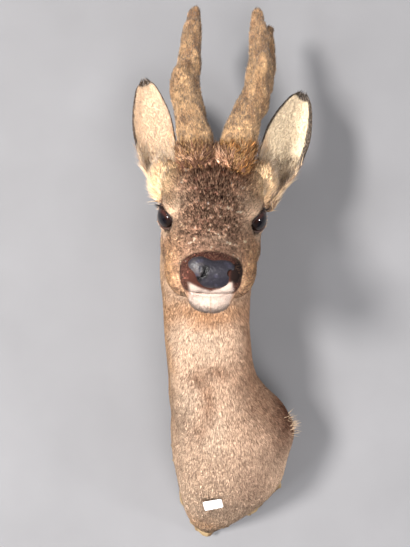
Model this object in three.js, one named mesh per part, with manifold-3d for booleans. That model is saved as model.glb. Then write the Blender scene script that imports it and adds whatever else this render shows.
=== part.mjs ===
// Roe deer shoulder mount: a roebuck's head, neck and shoulders on a form with a flush wooden back.
// The frame is millimetres with +Z up. X runs to the animal's left and -Y out from the wall, and the
// origin is the middle of the back board's rear face, where the mount hangs.
import * as THREE from 'three';
import { mergeVertices } from 'three/addons/utils/BufferGeometryUtils.js';
import Module from 'manifold-3d';

const wasm = await Module();
wasm.setup();

// ---- Driving sizes ----

const gap = 0.3;                         // air left where one piece meets the next

const noseReach = 265;                   // nose tip in front of the wall
const noseHeight = 250;                  // nose tip above the hanging point
const headTilt = THREE.MathUtils.degToRad(27);   // how far the line from eye to nose dips
const headRoll = THREE.MathUtils.degToRad(2);    // lean of the crown to the animal's left

const eyeRadius = 14;
const eyeSpacing = 77;                   // between the centres of the two eyeballs
const eyeBehindNose = 124;
const eyeDrop = 1;                       // below the line from the nose
const eyeOpening = { length: 26, height: 19, depth: 13, proud: 2, slant: 0.32, turn: 0.62 };

const noseSize = { width: 39, length: 25, height: 24.5 };
const noseSetBack = 12.5;
const noseDrop = 5.5;
const noseTaper = 0.16;                  // narrowing of the pad towards its foot
const nostril = { apart: 23, width: 7, length: 10, height: 6, depth: 3, rise: 2, turn: 0.5 };

const mouthDrop = 22;                    // mouth line below the nose-to-eye line
const mouthLength = 116;                 // from the lips back to the cut through the jaw
const jawCut = { width: 160, height: 90, ahead: 60 };

const earLength = 128;
const earHalfWidth = 22.5;
const earWall = 2.6;
const earRoot = 14;                      // length of ear hidden in the hair of the head
const earRimThinning = 0.55;             // how much thinner the leaf is at its rims
const earSeat = 0.4;                     // how far back a half-open leaf sits from its own middle line

const boardThickness = 12;
const hideRim = 5;                       // hide turned round the edge of the board
const boardTopDrop = 154;                // top of the board below the nose tip
const plate = { width: 22, height: 62, thickness: 1.6, rise: 50 };
const keyhole = { head: 10, slot: 5, rise: 12, relief: 2.2, reliefWidth: 14, reliefHeight: 26 };

const label = { width: 20, height: 17.5, thickness: 0.6, lift: 1.5, turn: 0.2, slopeOver: 18 };
const labelPlace = { across: 3.6, height: -246 };

// How square the outlines are: a power of 2 is an ellipse, and more is squarer.
const squareness = { skull: 2.4, neck: 2.15, noseFace: 2.6, noseSide: 2.4 };
const widestShare = 0.2;                 // where the head is widest, as a share of its top and bottom
const headRings = { sides: 24, count: 20 };
const neckRings = { sides: 24, count: 20 };
const earRings = { steps: 7, count: 11 };
const limbRings = { sides: 10, tipTurns: 3, beam: 12, tine: 6 };

// The head is measured along the line from the nose tip to the eye: `at` is the distance behind
// the nose, `top` and `bottom` are above and below that line, and `half` is half the width.
const headSizes = [
  { at: 5, half: 15, top: 3, bottom: -17, low: 2.2 },
  { at: 10, half: 22, top: 7.5, bottom: -36, low: 2.3 },
  { at: 16, half: 25.5, top: 11, bottom: -44, low: 2.3 },
  { at: 28, half: 27.5, top: 13, bottom: -47, low: 2.2 },
  { at: 50, half: 28.5, top: 16.5, bottom: -46, low: 2.1 },
  { at: 75, half: 31, top: 21.5, bottom: -48, low: 2.0 },
  { at: 96, half: 35.5, top: 28, bottom: -54, low: 1.8 },
  { at: 112, half: 41.5, top: 34, bottom: -59, low: 1.7 },
  { at: 126, half: 49.5, top: 40, bottom: -64, low: 1.7 },
  { at: 140, half: 53, top: 46, bottom: -68, low: 1.8 },
  { at: 154, half: 53, top: 53, bottom: -69, low: 1.8 },
  { at: 168, half: 51, top: 58, bottom: -67, low: 1.9 },
  { at: 184, half: 47, top: 56, bottom: -58, low: 2.0 },
  { at: 204, half: 39, top: 42, bottom: -42, low: 2.0 },
  { at: 222, half: 22, top: 20, bottom: -14, low: 2.0 },
];

// The neck and shoulders are measured level: `at` is the height above the nose tip, `right` and
// `left` are the reaches to the animal's right and left of the throat line, which lies at `ridge`,
// and `front` and `back` are distances from the wall. The back is cut flat at the wall.
const neckSizes = [
  { at: -319, ridge: -1, right: 4, left: 5, front: 14, back: -6, middle: 6 },
  { at: -308, ridge: 0, right: 17, left: 17, front: 34, back: -18, middle: 12 },
  { at: -291, ridge: 2, right: 30, left: 40, front: 60, back: -26, middle: 16 },
  { at: -268, ridge: 4, right: 39, left: 64, front: 88, back: -30, middle: 20 },
  { at: -245, ridge: 6, right: 45, left: 80, front: 111, back: -30, middle: 24 },
  { at: -211, ridge: 8, right: 53, left: 87, front: 132, back: -30, middle: 28 },
  { at: -180, ridge: 8, right: 55, left: 92, front: 141, back: -26, middle: 34 },
  { at: -160, ridge: 6, right: 52, left: 82, front: 142, back: -14, middle: 42 },
  { at: -138, ridge: 4, right: 52, left: 68, front: 140, back: 2, middle: 56 },
  { at: -112, ridge: 2, right: 50, left: 52, front: 137, back: 14, middle: 70 },
  { at: -70, ridge: -1, right: 50.5, left: 47.5, front: 136, back: 22, middle: 80 },
  { at: -30, ridge: -2, right: 51.5, left: 48.5, front: 139, back: 26, middle: 84 },
  { at: 0, ridge: -2, right: 54, left: 51.5, front: 146, back: 32, middle: 88 },
  { at: 32, ridge: 0, right: 54, left: 52, front: 144, back: 42, middle: 92 },
  { at: 64, ridge: 2, right: 50, left: 50, front: 134, back: 56, middle: 94 },
  { at: 92, ridge: 4, right: 38, left: 38, front: 118, back: 70, middle: 92 },
  { at: 104, ridge: 5, right: 18, left: 18, front: 104, back: 80, middle: 91 },
];

const neckCuts = [-62, -128];            // heights above the nose of the cuts across the neck
const nape = { reach: 50, height: 75 };  // two points on the cut between head and neck
const throat = { reach: 138, height: -16 };

// ---- Materials ----

const finish = (color, roughness, metalness = 0) => new THREE.MeshStandardMaterial({
  color, roughness, metalness,
});
const coatBrown = finish(0xa98563, 0.95);
const coatFawn = finish(0xc7a584, 0.95);
const coatCream = finish(0xdcc9b2, 0.95);
const earCoat = finish(0xd9bd95, 0.95);
const velvet = finish(0xb08a63, 0.9);
const noseLeather = finish(0x35323a, 0.4);
const eyeGlass = finish(0x1a100c, 0.08);
const boardWood = finish(0xb08d5f, 0.8);
const steel = finish(0xa9abad, 0.4, 1);
const paper = finish(0xf2f2ee, 0.85);

// ---- Shapes and joins ----

// Value of one size at a place between the stations, on a smooth curve through them.
function sizeAt(stations, key, at) {
  const last = stations.length - 1;
  const place = THREE.MathUtils.clamp(at, stations[0].at, stations[last].at);
  let i = stations.findIndex((station) => station.at >= place);
  i = Math.max(i, 1) - 1;
  const slope = (j) => {
    const before = stations[Math.max(j - 1, 0)];
    const after = stations[Math.min(j + 1, last)];
    return (after[key] - before[key]) / (after.at - before.at);
  };
  const span = stations[i + 1].at - stations[i].at;
  const t = (place - stations[i].at) / span;
  const rise = t * t * (3 - 2 * t);
  const lead = slope(i) * span * t * (1 - t) * (1 - t);
  const trail = slope(i + 1) * span * t * t * (1 - t);
  return THREE.MathUtils.lerp(stations[i][key], stations[i + 1][key], rise) + lead - trail;
}

// Places from one end of the stations to the other, closer together towards both ends.
function spacedPlaces(stations, count) {
  const first = stations[0].at;
  const length = stations.at(-1).at - first;
  return Array.from({ length: count + 1 }, (_, i) => (
    first + length * (1 - Math.cos(Math.PI * i / count)) / 2
  ));
}

// A closed body skinned over rings of points, with a fan of faces over each end.
function loft(rings) {
  const sides = rings[0].length;
  const centre = (ring) => ring.reduce((sum, p) => sum.add(p), new THREE.Vector3()).divideScalar(sides);
  const points = [...rings.flat(), centre(rings[0]), centre(rings.at(-1))];
  const start = points.length - 2;
  const end = points.length - 1;
  const faces = [];
  for (let j = 0; j < sides; j += 1) {
    const k = (j + 1) % sides;
    const lastRing = (rings.length - 1) * sides;
    faces.push(start, k, j);
    faces.push(end, lastRing + j, lastRing + k);
    for (let row = 0; row < lastRing; row += sides) {
      faces.push(row + j, row + k, row + sides + k);
      faces.push(row + j, row + sides + k, row + sides + j);
    }
  }
  const geometry = new THREE.BufferGeometry();
  const coordinates = points.flatMap((p) => p.toArray());
  geometry.setAttribute('position', new THREE.Float32BufferAttribute(coordinates, 3));
  geometry.setIndex(faces);
  return geometry;
}

// One coordinate of a rounded outline of that squareness.
const rounded = (value, power) => Math.sign(value) * Math.abs(value) ** (2 / power);

function solid(geometry) {
  const bare = geometry.clone();
  bare.deleteAttribute('normal');
  bare.deleteAttribute('uv');
  const merged = mergeVertices(bare, 1e-4);
  return new wasm.Manifold(new wasm.Mesh({
    numProp: 3,
    vertProperties: new Float32Array(merged.attributes.position.array),
    triVerts: new Uint32Array(merged.index.array),
  }));
}

function toGeometry(manifold) {
  const mesh = manifold.getMesh();
  const geometry = new THREE.BufferGeometry();
  geometry.setAttribute('position', new THREE.BufferAttribute(new Float32Array(mesh.vertProperties), 3));
  geometry.setIndex(new THREE.BufferAttribute(new Uint32Array(mesh.triVerts), 1));
  return geometry;
}

const mount = new THREE.Group();

function addPiece(name, shape, material) {
  const geometry = shape instanceof THREE.BufferGeometry ? shape : toGeometry(shape);
  const piece = new THREE.Mesh(geometry, material);
  piece.name = name;
  mount.add(piece);
  return piece;
}

// ---- Head, neck and shoulders: outer form of the coat ----

const headFrame = new THREE.Matrix4().compose(
  new THREE.Vector3(0, -noseReach, noseHeight),
  new THREE.Quaternion().setFromEuler(new THREE.Euler(headTilt, headRoll, 0, 'YXZ')),
  new THREE.Vector3(1, 1, 1),
);
const onHead = (geometry) => geometry.applyMatrix4(headFrame);

function headForm(grow) {
  const rings = spacedPlaces(headSizes, headRings.count).map((at) => {
    const half = sizeAt(headSizes, 'half', at) + grow;
    const top = sizeAt(headSizes, 'top', at) + grow;
    const bottom = sizeAt(headSizes, 'bottom', at) - grow;
    const low = sizeAt(headSizes, 'low', at);
    return Array.from({ length: headRings.sides }, (_, j) => {
      const turn = 2 * Math.PI * j / headRings.sides;
      const up = -Math.sin(turn);
      const power = up > 0 ? squareness.skull : low;
      const middle = (top + bottom) * widestShare;
      const reach = up > 0 ? top - middle : middle - bottom;
      return new THREE.Vector3(
        half * rounded(Math.cos(turn), power),
        at,
        middle + reach * rounded(up, power),
      );
    });
  });
  return onHead(loft(rings));
}

function neckForm(grow) {
  const leastReach = 0.5;
  const rings = spacedPlaces(neckSizes, neckRings.count).map((at) => {
    const size = (key) => sizeAt(neckSizes, key, at);
    return Array.from({ length: neckRings.sides }, (_, j) => {
      const turn = 2 * Math.PI * j / neckRings.sides;
      const across = rounded(Math.cos(turn), squareness.neck);
      const inward = rounded(Math.sin(turn), squareness.neck);
      const half = across > 0 ? size('left') : size('right');
      const reach = inward > 0 ? size('middle') - size('back') : size('front') - size('middle');
      return new THREE.Vector3(
        size('ridge') + Math.max(half + grow, leastReach) * across,
        -size('middle') + Math.max(reach + grow, leastReach) * inward,
        noseHeight + at,
      );
    });
  });
  return loft(rings);
}

// A block that fills one side of a plane through two points on the middle line of the mount.
const blockSize = 900;
function blockBeyond(from, to, offset) {
  const start = new THREE.Vector2(-from.reach, noseHeight + from.height);
  const along = new THREE.Vector2(-to.reach, noseHeight + to.height).sub(start);
  const block = new THREE.BoxGeometry(blockSize, blockSize, blockSize);
  block.translate(0, 0, -blockSize / 2 - offset);
  block.rotateX(Math.atan2(-along.y, -along.x));
  block.translate(0, start.x, start.y);
  return solid(block);
}

const levelCut = (height) => [{ reach: 0, height }, { reach: 100, height }];
const inFrontOfWall = new THREE.BoxGeometry(blockSize, blockSize, blockSize);
inFrontOfWall.translate(0, -blockSize / 2, 0);
const flesh = solid(headForm(0)).add(solid(neckForm(0))).intersect(solid(inFrontOfWall));
const fleshGrown = solid(headForm(gap)).add(solid(neckForm(gap)));

// ---- Eyes, nose and mouth ----

const eyeSides = [
  { name: 'right', side: -1 },
  { name: 'left', side: 1 },
];

function eyeCentre(side) {
  return new THREE.Vector3(side * eyeSpacing / 2, eyeBehindNose, -eyeDrop);
}

// The opening between the lids faces outwards and forwards, with its front corner lower.
function eyeOpeningShape(side) {
  const lens = new THREE.SphereGeometry(0.5, 16, 10);
  lens.scale(2 * eyeOpening.depth, eyeOpening.length, eyeOpening.height);
  lens.translate(eyeRadius + eyeOpening.proud, 0, 0);
  lens.rotateX(eyeOpening.slant);
  lens.rotateZ(-eyeOpening.turn);
  if (side < 0) {
    lens.scale(-1, 1, 1);
    lens.index.array.reverse();
  }
  const centre = eyeCentre(side);
  lens.translate(centre.x, centre.y, centre.z);
  return onHead(lens);
}

function eyeBall(side, radius) {
  const centre = eyeCentre(side);
  return onHead(new THREE.SphereGeometry(radius, 18, 10).translate(centre.x, centre.y, centre.z));
}

function nosePad(grow) {
  const pad = new THREE.SphereGeometry(1, 20, 14);
  const position = pad.attributes.position;
  for (let i = 0; i < position.count; i += 1) {
    const height = rounded(position.getZ(i), squareness.noseFace);
    const taper = 1 - noseTaper * (1 - height);
    position.setXYZ(
      i,
      rounded(position.getX(i), squareness.noseFace) * (noseSize.width / 2 + grow) * taper,
      rounded(position.getY(i), squareness.noseSide) * (noseSize.length / 2 + grow) + noseSetBack,
      height * (noseSize.height / 2 + grow) - noseDrop,
    );
  }
  return onHead(pad);
}

function nostrilHole(side) {
  const hole = new THREE.SphereGeometry(0.5, 10, 6);
  hole.scale(nostril.width, nostril.length, nostril.height);
  hole.rotateZ(side * nostril.turn);
  hole.translate(side * nostril.apart / 2, nostril.depth, nostril.rise - noseDrop);
  return onHead(hole);
}

function jawBlock(grow) {
  const length = mouthLength + jawCut.ahead;
  const block = new THREE.BoxGeometry(jawCut.width, length, jawCut.height);
  block.translate(0, mouthLength - length / 2 + grow, -mouthDrop - jawCut.height / 2 + grow);
  return solid(onHead(block));
}

let headSolid = flesh.subtract(blockBeyond(nape, throat, -gap / 2));
const jawSolid = headSolid.intersect(jawBlock(0));
headSolid = headSolid.subtract(jawBlock(gap));
headSolid = headSolid.subtract(solid(nosePad(gap)));
eyeSides.forEach(({ side }) => {
  headSolid = headSolid.subtract(solid(eyeBall(side, eyeRadius + gap)));
  headSolid = headSolid.subtract(solid(eyeOpeningShape(side)));
});

let noseSolid = solid(nosePad(0)).subtract(jawBlock(gap));
eyeSides.forEach(({ side }) => {
  noseSolid = noseSolid.subtract(solid(nostrilHole(side)));
});

addPiece('head', headSolid, coatBrown);
addPiece('lower_jaw', jawSolid, coatCream);
addPiece('nose', noseSolid, noseLeather);
eyeSides.forEach(({ name, side }) => addPiece(`eye_${name}`, eyeBall(side, eyeRadius), eyeGlass));

// ---- Neck and shoulders ----

const boardTop = noseHeight - boardTopDrop;

// The board follows the flat back of the form, inside the turned edge of the hide.
function boardBlank(inset, thickness) {
  const slab = new THREE.BoxGeometry(blockSize, thickness, blockSize);
  slab.translate(0, -thickness / 2, boardTop - inset - blockSize / 2);
  return solid(neckForm(-hideRim - inset)).intersect(solid(slab));
}

const boardSpace = boardBlank(-gap, boardThickness + gap);
const belowHead = flesh.intersect(blockBeyond(nape, throat, gap / 2));
const upper = levelCut(neckCuts[0]);
const lower = levelCut(neckCuts[1]);
addPiece('neck_upper', belowHead.subtract(blockBeyond(...upper, -gap / 2)), coatFawn);
addPiece(
  'neck_lower',
  belowHead.intersect(blockBeyond(...upper, gap / 2)).subtract(blockBeyond(...lower, -gap / 2)),
  coatFawn,
);
addPiece('shoulders', belowHead.intersect(blockBeyond(...lower, gap / 2)).subtract(boardSpace), coatFawn);

// ---- Ears ----

// Each ear is a cupped leaf. At its root the leaf is rolled into a funnel, and towards the tip it
// opens. `root` and `tip` are in the mount's frame, and `turn` swings the hollow side outwards.
const earLeaf = [
  { at: 0, half: 0.50, roll: 280 },
  { at: 0.14, half: 0.58, roll: 240 },
  { at: 0.30, half: 0.80, roll: 185 },
  { at: 0.48, half: 0.98, roll: 150 },
  { at: 0.64, half: 0.98, roll: 130 },
  { at: 0.80, half: 0.76, roll: 112 },
  { at: 0.93, half: 0.40, roll: 95 },
  { at: 1, half: 0.10, roll: 80 },
];
const ears = [
  {
    name: 'right', side: -1, turn: 0.12, spread: 1,
    root: new THREE.Vector3(-47, -119, noseHeight + 92),
    tip: new THREE.Vector3(-73, -85, noseHeight + 218),
  },
  {
    name: 'left', side: 1, turn: 0.1, spread: 1.12,
    root: new THREE.Vector3(59, -119, noseHeight + 84),
    tip: new THREE.Vector3(104, -85, noseHeight + 200),
  },
];

function earShape({ side, turn, spread, root, tip }) {
  const along = tip.clone().sub(root).normalize();
  const hollow = new THREE.Vector3(side * Math.sin(turn), -Math.cos(turn), 0);
  hollow.addScaledVector(along, -hollow.dot(along)).normalize();
  const across = hollow.clone().cross(along).normalize();
  const start = root.clone().addScaledVector(along, -earRoot);
  const rings = spacedPlaces(earLeaf, earRings.count).map((at) => {
    const roll = THREE.MathUtils.degToRad(sizeAt(earLeaf, 'roll', at));
    const half = spread * earHalfWidth * sizeAt(earLeaf, 'half', at);
    const radius = roll > Math.PI ? half : half / Math.sin(roll / 2);
    const rim = Math.cos(roll / 2);
    const middle = start.clone().addScaledVector(along, (earLength + earRoot) * at);
    const arc = (direction, wallSide) => Array.from({ length: earRings.steps + 1 }, (_, j) => {
      const place = direction * (2 * j / earRings.steps - 1);
      const wall = earWall / 2 * (1 - earRimThinning * Math.abs(place));
      const reach = radius + wallSide * wall;
      const angle = place * roll / 2;
      return middle.clone()
        .addScaledVector(across, reach * Math.sin(angle))
        .addScaledVector(hollow, radius * THREE.MathUtils.lerp(earSeat, 1, rim) - reach * Math.cos(angle));
    });
    return [...arc(1, 1), ...arc(-1, -1)];
  });
  return loft(rings);
}

ears.forEach((ear) => {
  const leaf = solid(earShape(ear)).subtract(fleshGrown);
  const outer = leaf.decompose().sort((a, b) => b.volume() - a.volume())[0];
  addPiece(`ear_${ear.name}`, outer, earCoat);
});

// ---- Antlers in velvet ----

// Each beam or tine is a tapering round limb through a few places, as thick as `radii` say at
// even steps from root to tip, and rounded over at the tip.
function limb(places, radii, grow, stepsLong) {
  const { sides, tipTurns } = limbRings;
  const line = new THREE.CatmullRomCurve3(
    places.map(([across, out, above]) => new THREE.Vector3(across, -out, noseHeight + above)),
  );
  const length = line.getLength();
  const girths = radii.map((radius, i) => ({ at: i / (radii.length - 1), radius: radius + grow }));
  const dome = girths.at(-1).radius / length;
  const stops = Array.from({ length: stepsLong }, (_, i) => (
    { at: i / stepsLong * (1 - dome), shrink: 1 }
  ));
  for (let i = 0; i < tipTurns; i += 1) {
    const angle = Math.PI / 2 * i / tipTurns;
    stops.push({ at: 1 - dome + dome * Math.sin(angle), shrink: Math.cos(angle) });
  }
  const side = new THREE.Vector3(1, 0, 0);
  const rings = stops.map(({ at, shrink }) => {
    const centre = line.getPointAt(at);
    const tangent = line.getTangentAt(at);
    const across = side.clone().addScaledVector(tangent, -side.dot(tangent)).normalize();
    const outward = tangent.clone().cross(across);
    const radius = sizeAt(girths, 'radius', at) * shrink;
    return Array.from({ length: sides }, (_, j) => {
      const turn = 2 * Math.PI * j / sides;
      return centre.clone()
        .addScaledVector(across, radius * Math.cos(turn))
        .addScaledVector(outward, radius * Math.sin(turn));
    });
  });
  return loft(rings);
}

// Places are across, out from the wall, and above the nose.
const antlers = [
  {
    name: 'right',
    beam: {
      places: [
        [-13, 150, 112], [-16, 143, 142], [-22, 131, 176], [-23, 121, 205], [-20, 110, 240], [-16, 98, 283],
      ],
      radii: [19, 18.5, 17, 15.5, 13.5, 12.5, 11, 7.5],
    },
    front_tine: {
      places: [[-24, 130, 172], [-31, 133, 190], [-31, 134, 204], [-26, 133, 216]],
      radii: [12, 11.5, 9.5, 6],
    },
    rear_tine: {
      places: [[-20, 112, 226], [-23, 100, 246], [-24, 92, 268]],
      radii: [9, 8, 5],
    },
  },
  {
    name: 'left',
    beam: {
      places: [
        [26, 150, 112], [31, 143, 142], [43, 131, 174], [51, 121, 205], [53, 110, 240], [52, 98, 279],
      ],
      radii: [19, 18.5, 17.5, 15.5, 13.5, 12.5, 11, 7.5],
    },
    front_tine: {
      places: [[48, 128, 172], [50, 136, 190], [52, 140, 205], [53, 142, 220]],
      radii: [11, 10, 8, 5.5],
    },
    rear_tine: {
      places: [[57, 118, 196], [63, 104, 224], [65, 92, 266]],
      radii: [10, 9, 5.5],
    },
  },
];

antlers.forEach(({ name, beam, front_tine, rear_tine }) => {
  const beamSpace = solid(limb(beam.places, beam.radii, gap, limbRings.beam));
  const beamSolid = solid(limb(beam.places, beam.radii, 0, limbRings.beam)).subtract(fleshGrown);
  addPiece(`antler_${name}_beam`, beamSolid, velvet);
  Object.entries({ front_tine, rear_tine }).forEach(([tine, { places, radii }]) => {
    const tineSolid = solid(limb(places, radii, 0, limbRings.tine)).subtract(beamSpace);
    const outer = tineSolid.decompose().sort((a, b) => b.volume() - a.volume())[0];
    addPiece(`antler_${name}_${tine}`, outer, velvet);
  });
});

// ---- Back board, hanging plate and paper label ----

function plateOutline() {
  const outline = new THREE.Shape();
  outline.moveTo(-plate.width / 2, -plate.height / 2);
  outline.lineTo(plate.width / 2, -plate.height / 2);
  outline.lineTo(plate.width / 2, plate.height / 2);
  outline.lineTo(-plate.width / 2, plate.height / 2);
  outline.closePath();
  return outline;
}

// A wide round hole with a narrow slot above it.
function keyholeOutline() {
  const hole = new THREE.Path();
  const shoulder = Math.asin(keyhole.slot / keyhole.head);
  const slotTop = keyhole.rise;
  const quarter = Math.PI / 2;
  hole.absarc(0, 0, keyhole.head / 2, quarter + shoulder, 5 * quarter - shoulder, false);
  hole.lineTo(keyhole.slot / 2, slotTop);
  hole.absarc(0, slotTop, keyhole.slot / 2, 0, Math.PI, false);
  hole.closePath();
  return hole;
}

function plateShape() {
  const outline = plateOutline();
  outline.holes.push(keyholeOutline());
  const sheet = new THREE.ExtrudeGeometry(outline, {
    depth: plate.thickness, bevelEnabled: false, curveSegments: 8,
  });
  return sheet.rotateX(Math.PI / 2).translate(0, 0, plate.rise);
}

const recessDepth = plate.thickness + gap;
const plateRecess = new THREE.BoxGeometry(plate.width + 2 * gap, 2 * recessDepth, plate.height + 2 * gap);
plateRecess.translate(0, 0, plate.rise);
// Room behind the keyhole for the head of the wall screw, cut a hair past the floor of the recess.
const reliefDepth = keyhole.relief + recessDepth;
const relief = new THREE.BoxGeometry(keyhole.reliefWidth, reliefDepth, keyhole.reliefHeight);
relief.translate(0, -reliefDepth / 2, plate.rise + keyhole.rise / 2);
const boardCut = solid(plateRecess).add(solid(relief));

addPiece('back_board', boardBlank(0, boardThickness).subtract(boardCut), boardWood);
addPiece('hanger_plate', plateShape(), steel);

// The label is a blank slip that lies on the hair of the brisket.
const labelReach = sizeAt(neckSizes, 'front', labelPlace.height);
const reachAbove = sizeAt(neckSizes, 'front', labelPlace.height + label.slopeOver / 2);
const reachBelow = sizeAt(neckSizes, 'front', labelPlace.height - label.slopeOver / 2);
const labelSlope = Math.atan2(reachAbove - reachBelow, label.slopeOver);
const slip = addPiece('label', new THREE.BoxGeometry(label.width, label.thickness, label.height), paper);
slip.rotation.set(labelSlope, -label.turn, 0, 'YXZ');
slip.position.set(labelPlace.across, -labelReach - label.lift, noseHeight + labelPlace.height);

export default mount;
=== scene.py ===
import math

import bpy
import numpy as np
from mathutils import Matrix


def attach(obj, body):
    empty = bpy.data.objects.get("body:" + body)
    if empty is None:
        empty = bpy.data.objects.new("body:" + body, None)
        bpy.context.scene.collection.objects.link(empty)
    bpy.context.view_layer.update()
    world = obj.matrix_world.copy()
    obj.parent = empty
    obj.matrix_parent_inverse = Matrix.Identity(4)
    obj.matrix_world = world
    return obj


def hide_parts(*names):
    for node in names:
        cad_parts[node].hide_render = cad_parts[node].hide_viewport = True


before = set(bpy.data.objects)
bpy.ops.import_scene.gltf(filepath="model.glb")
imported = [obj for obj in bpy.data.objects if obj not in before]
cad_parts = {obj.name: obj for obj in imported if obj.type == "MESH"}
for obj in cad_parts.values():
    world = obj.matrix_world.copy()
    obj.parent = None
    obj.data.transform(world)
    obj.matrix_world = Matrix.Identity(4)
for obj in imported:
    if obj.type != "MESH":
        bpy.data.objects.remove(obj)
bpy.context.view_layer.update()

# ---- View of the wall ----
# The mount hangs on a wall, nose outwards. The eye is level with the nose, three quarters of a
# metre from the wall and a little to the animal's right.
WALL_TO_LENS = 0.750
NOSE_HEIGHT = 0.250
LENS_ACROSS = -0.005
camera_data = bpy.data.cameras.new("view")
camera_data.sensor_fit = "VERTICAL"
camera_data.sensor_height = 36.0
camera_data.lens = 39.5
camera_data.clip_start = 0.01
camera = bpy.data.objects.new("view", camera_data)
camera.location = (LENS_ACROSS, -WALL_TO_LENS, NOSE_HEIGHT)
camera.rotation_euler = (math.pi / 2, 0.0, 0.0)
bpy.context.scene.collection.objects.link(camera)
bpy.context.scene.camera = camera

# ---- The form under the hide ----
# A light foam form of the neck and shoulders with the head set on it. All its sizes are in
# millimetres: stations along the head run back from the nose along the line through the eye, and
# stations along the neck are heights above the nose.
MM = 0.001
NOSE_TIP = np.array([0.0, -265.0, 250.0])
HEAD_TILT = math.radians(27.0)
HEAD_ROLL = math.radians(2.0)
# back from the nose, half width, top, bottom, squareness of the underside
HEAD_STATIONS = np.array([
    (5, 15, 3, -17, 2.2), (10, 22, 7.5, -36, 2.3), (16, 25.5, 11, -44, 2.3),
    (28, 27.5, 13, -47, 2.2), (50, 28.5, 16.5, -46, 2.1), (75, 32.5, 21.5, -48, 2.0), (96, 38, 28, -54, 1.8),
    (112, 41.5, 34, -59, 1.7), (126, 49.5, 40, -64, 1.7), (140, 53, 46, -68, 1.8),
    (154, 53, 53, -69, 1.8), (168, 51, 58, -67, 1.9), (184, 47, 56, -58, 2.0),
    (204, 39, 42, -42, 2.0), (222, 22, 20, -14, 2.0),
], dtype=np.float32)
# height, throat line, reach to the right and left of it, front, back and widest place off the wall
NECK_STATIONS = np.array([
    (-319, -1, 4, 5, 14, -6, 6), (-308, 0, 17, 17, 34, -18, 12), (-291, 2, 30, 40, 60, -26, 16),
    (-268, 4, 39, 64, 88, -30, 20), (-245, 6, 45, 80, 111, -30, 24), (-211, 8, 53, 87, 132, -30, 28),
    (-180, 8, 55, 92, 141, -26, 34), (-160, 6, 52, 82, 142, -14, 42), (-138, 4, 52, 68, 140, 2, 56),
    (-112, 2, 50, 52, 137, 14, 70), (-70, -1, 50.5, 47.5, 136, 22, 80), (-30, -2, 51.5, 48.5, 139, 26, 84),
    (0, -2, 54, 51.5, 146, 32, 88), (32, 0, 54, 52, 144, 42, 92), (64, 2, 50, 50, 134, 56, 94),
    (92, 4, 38, 38, 118, 70, 92), (104, 5, 18, 18, 104, 80, 91),
], dtype=np.float32)


def curve_through(stations, column):
    """A smooth curve through one size of every station, as a function of the place."""
    at, size = stations[:, 0], stations[:, column]
    slope = np.empty_like(size)
    slope[1:-1] = (size[2:] - size[:-2]) / (at[2:] - at[:-2])
    slope[0] = (size[1] - size[0]) / (at[1] - at[0])
    slope[-1] = (size[-1] - size[-2]) / (at[-1] - at[-2])
    fine = np.linspace(at[0], at[-1], 500)
    i = np.clip(np.searchsorted(at, fine, side="right") - 1, 0, len(at) - 2)
    span = at[i + 1] - at[i]
    t = (fine - at[i]) / span
    value = size[i] + (size[i + 1] - size[i]) * t * t * (3 - 2 * t)
    value += slope[i] * span * t * (1 - t) ** 2 - slope[i + 1] * span * t * t * (1 - t)
    return lambda place: np.interp(place, fine, value).astype(np.float32)


head_half, head_top, head_bottom, head_low = (curve_through(HEAD_STATIONS, c) for c in range(1, 5))
neck_ridge, neck_right, neck_left, neck_front, neck_back, neck_middle = (
    curve_through(NECK_STATIONS, c) for c in range(1, 7))

tilt_cos, tilt_sin = math.cos(HEAD_TILT), math.sin(HEAD_TILT)
roll_cos, roll_sin = math.cos(HEAD_ROLL), math.sin(HEAD_ROLL)
HEAD_TURN = (np.array([(roll_cos, 0, roll_sin), (0, 1, 0), (-roll_sin, 0, roll_cos)])
             @ np.array([(1, 0, 0), (0, tilt_cos, -tilt_sin), (0, tilt_sin, tilt_cos)]))


def to_head(x, y, z):
    """Across, back and up in the head's own frame, for places in the mount's frame."""
    dx, dy, dz = x - NOSE_TIP[0], y - NOSE_TIP[1], z - NOSE_TIP[2]
    return tuple((HEAD_TURN[0, c] * dx + HEAD_TURN[1, c] * dy + HEAD_TURN[2, c] * dz).astype(np.float32)
                 for c in range(3))


def on_head(points):
    return np.asarray(points) @ HEAD_TURN.T + NOSE_TIP


def soft_min(a, b, blend):
    h = np.clip(0.5 + 0.5 * (b - a) / blend, 0, 1)
    return b * (1 - h) + a * h - blend * h * (1 - h)


def soft_max(a, b, blend):
    return -soft_min(-a, -b, blend)


def fade(value, start, end):
    t = np.clip((value - start) / (end - start), 0, 1)
    return t * t * (3 - 2 * t)


def outline_level(across, up, half, reach, power):
    """Distance outside a rounded outline, measured along the line to its centre."""
    near = (np.abs(across / half) ** power + np.abs(up / reach) ** power) ** (1 / power)
    near = np.maximum(near, 1e-3)
    return np.sqrt(across ** 2 + up ** 2) * (1 - 1 / near)


def head_level(across, back, up):
    top, bottom = head_top(back), head_bottom(back)
    middle = 0.2 * (top + bottom)
    rise = up - middle
    reach = np.where(rise > 0, top - middle, middle - bottom)
    power = np.where(rise > 0, np.interp(back, (10, 60, 110), (2.0, 2.1, 2.4)), head_low(back))
    sides = outline_level(across, rise, head_half(back), reach, power)
    ends = np.maximum(HEAD_STATIONS[0, 0] - back, back - HEAD_STATIONS[-1, 0])
    return soft_max(sides, ends, 6)


def neck_level(x, y, z, grow=0.0):
    at = (z - NOSE_TIP[2]).astype(np.float32)
    across = x - neck_ridge(at)
    middle = neck_middle(at)
    inward = y + middle
    half = np.where(across > 0, neck_left(at), neck_right(at)) + grow
    reach = np.where(inward > 0, middle - neck_back(at), neck_front(at) - middle) + grow
    sides = outline_level(across, inward, np.maximum(half, 0.5), np.maximum(reach, 0.5), 2.15)
    ends = np.maximum(NECK_STATIONS[0, 0] - at, at - NECK_STATIONS[-1, 0])
    return soft_max(sides, ends, 4)


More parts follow.
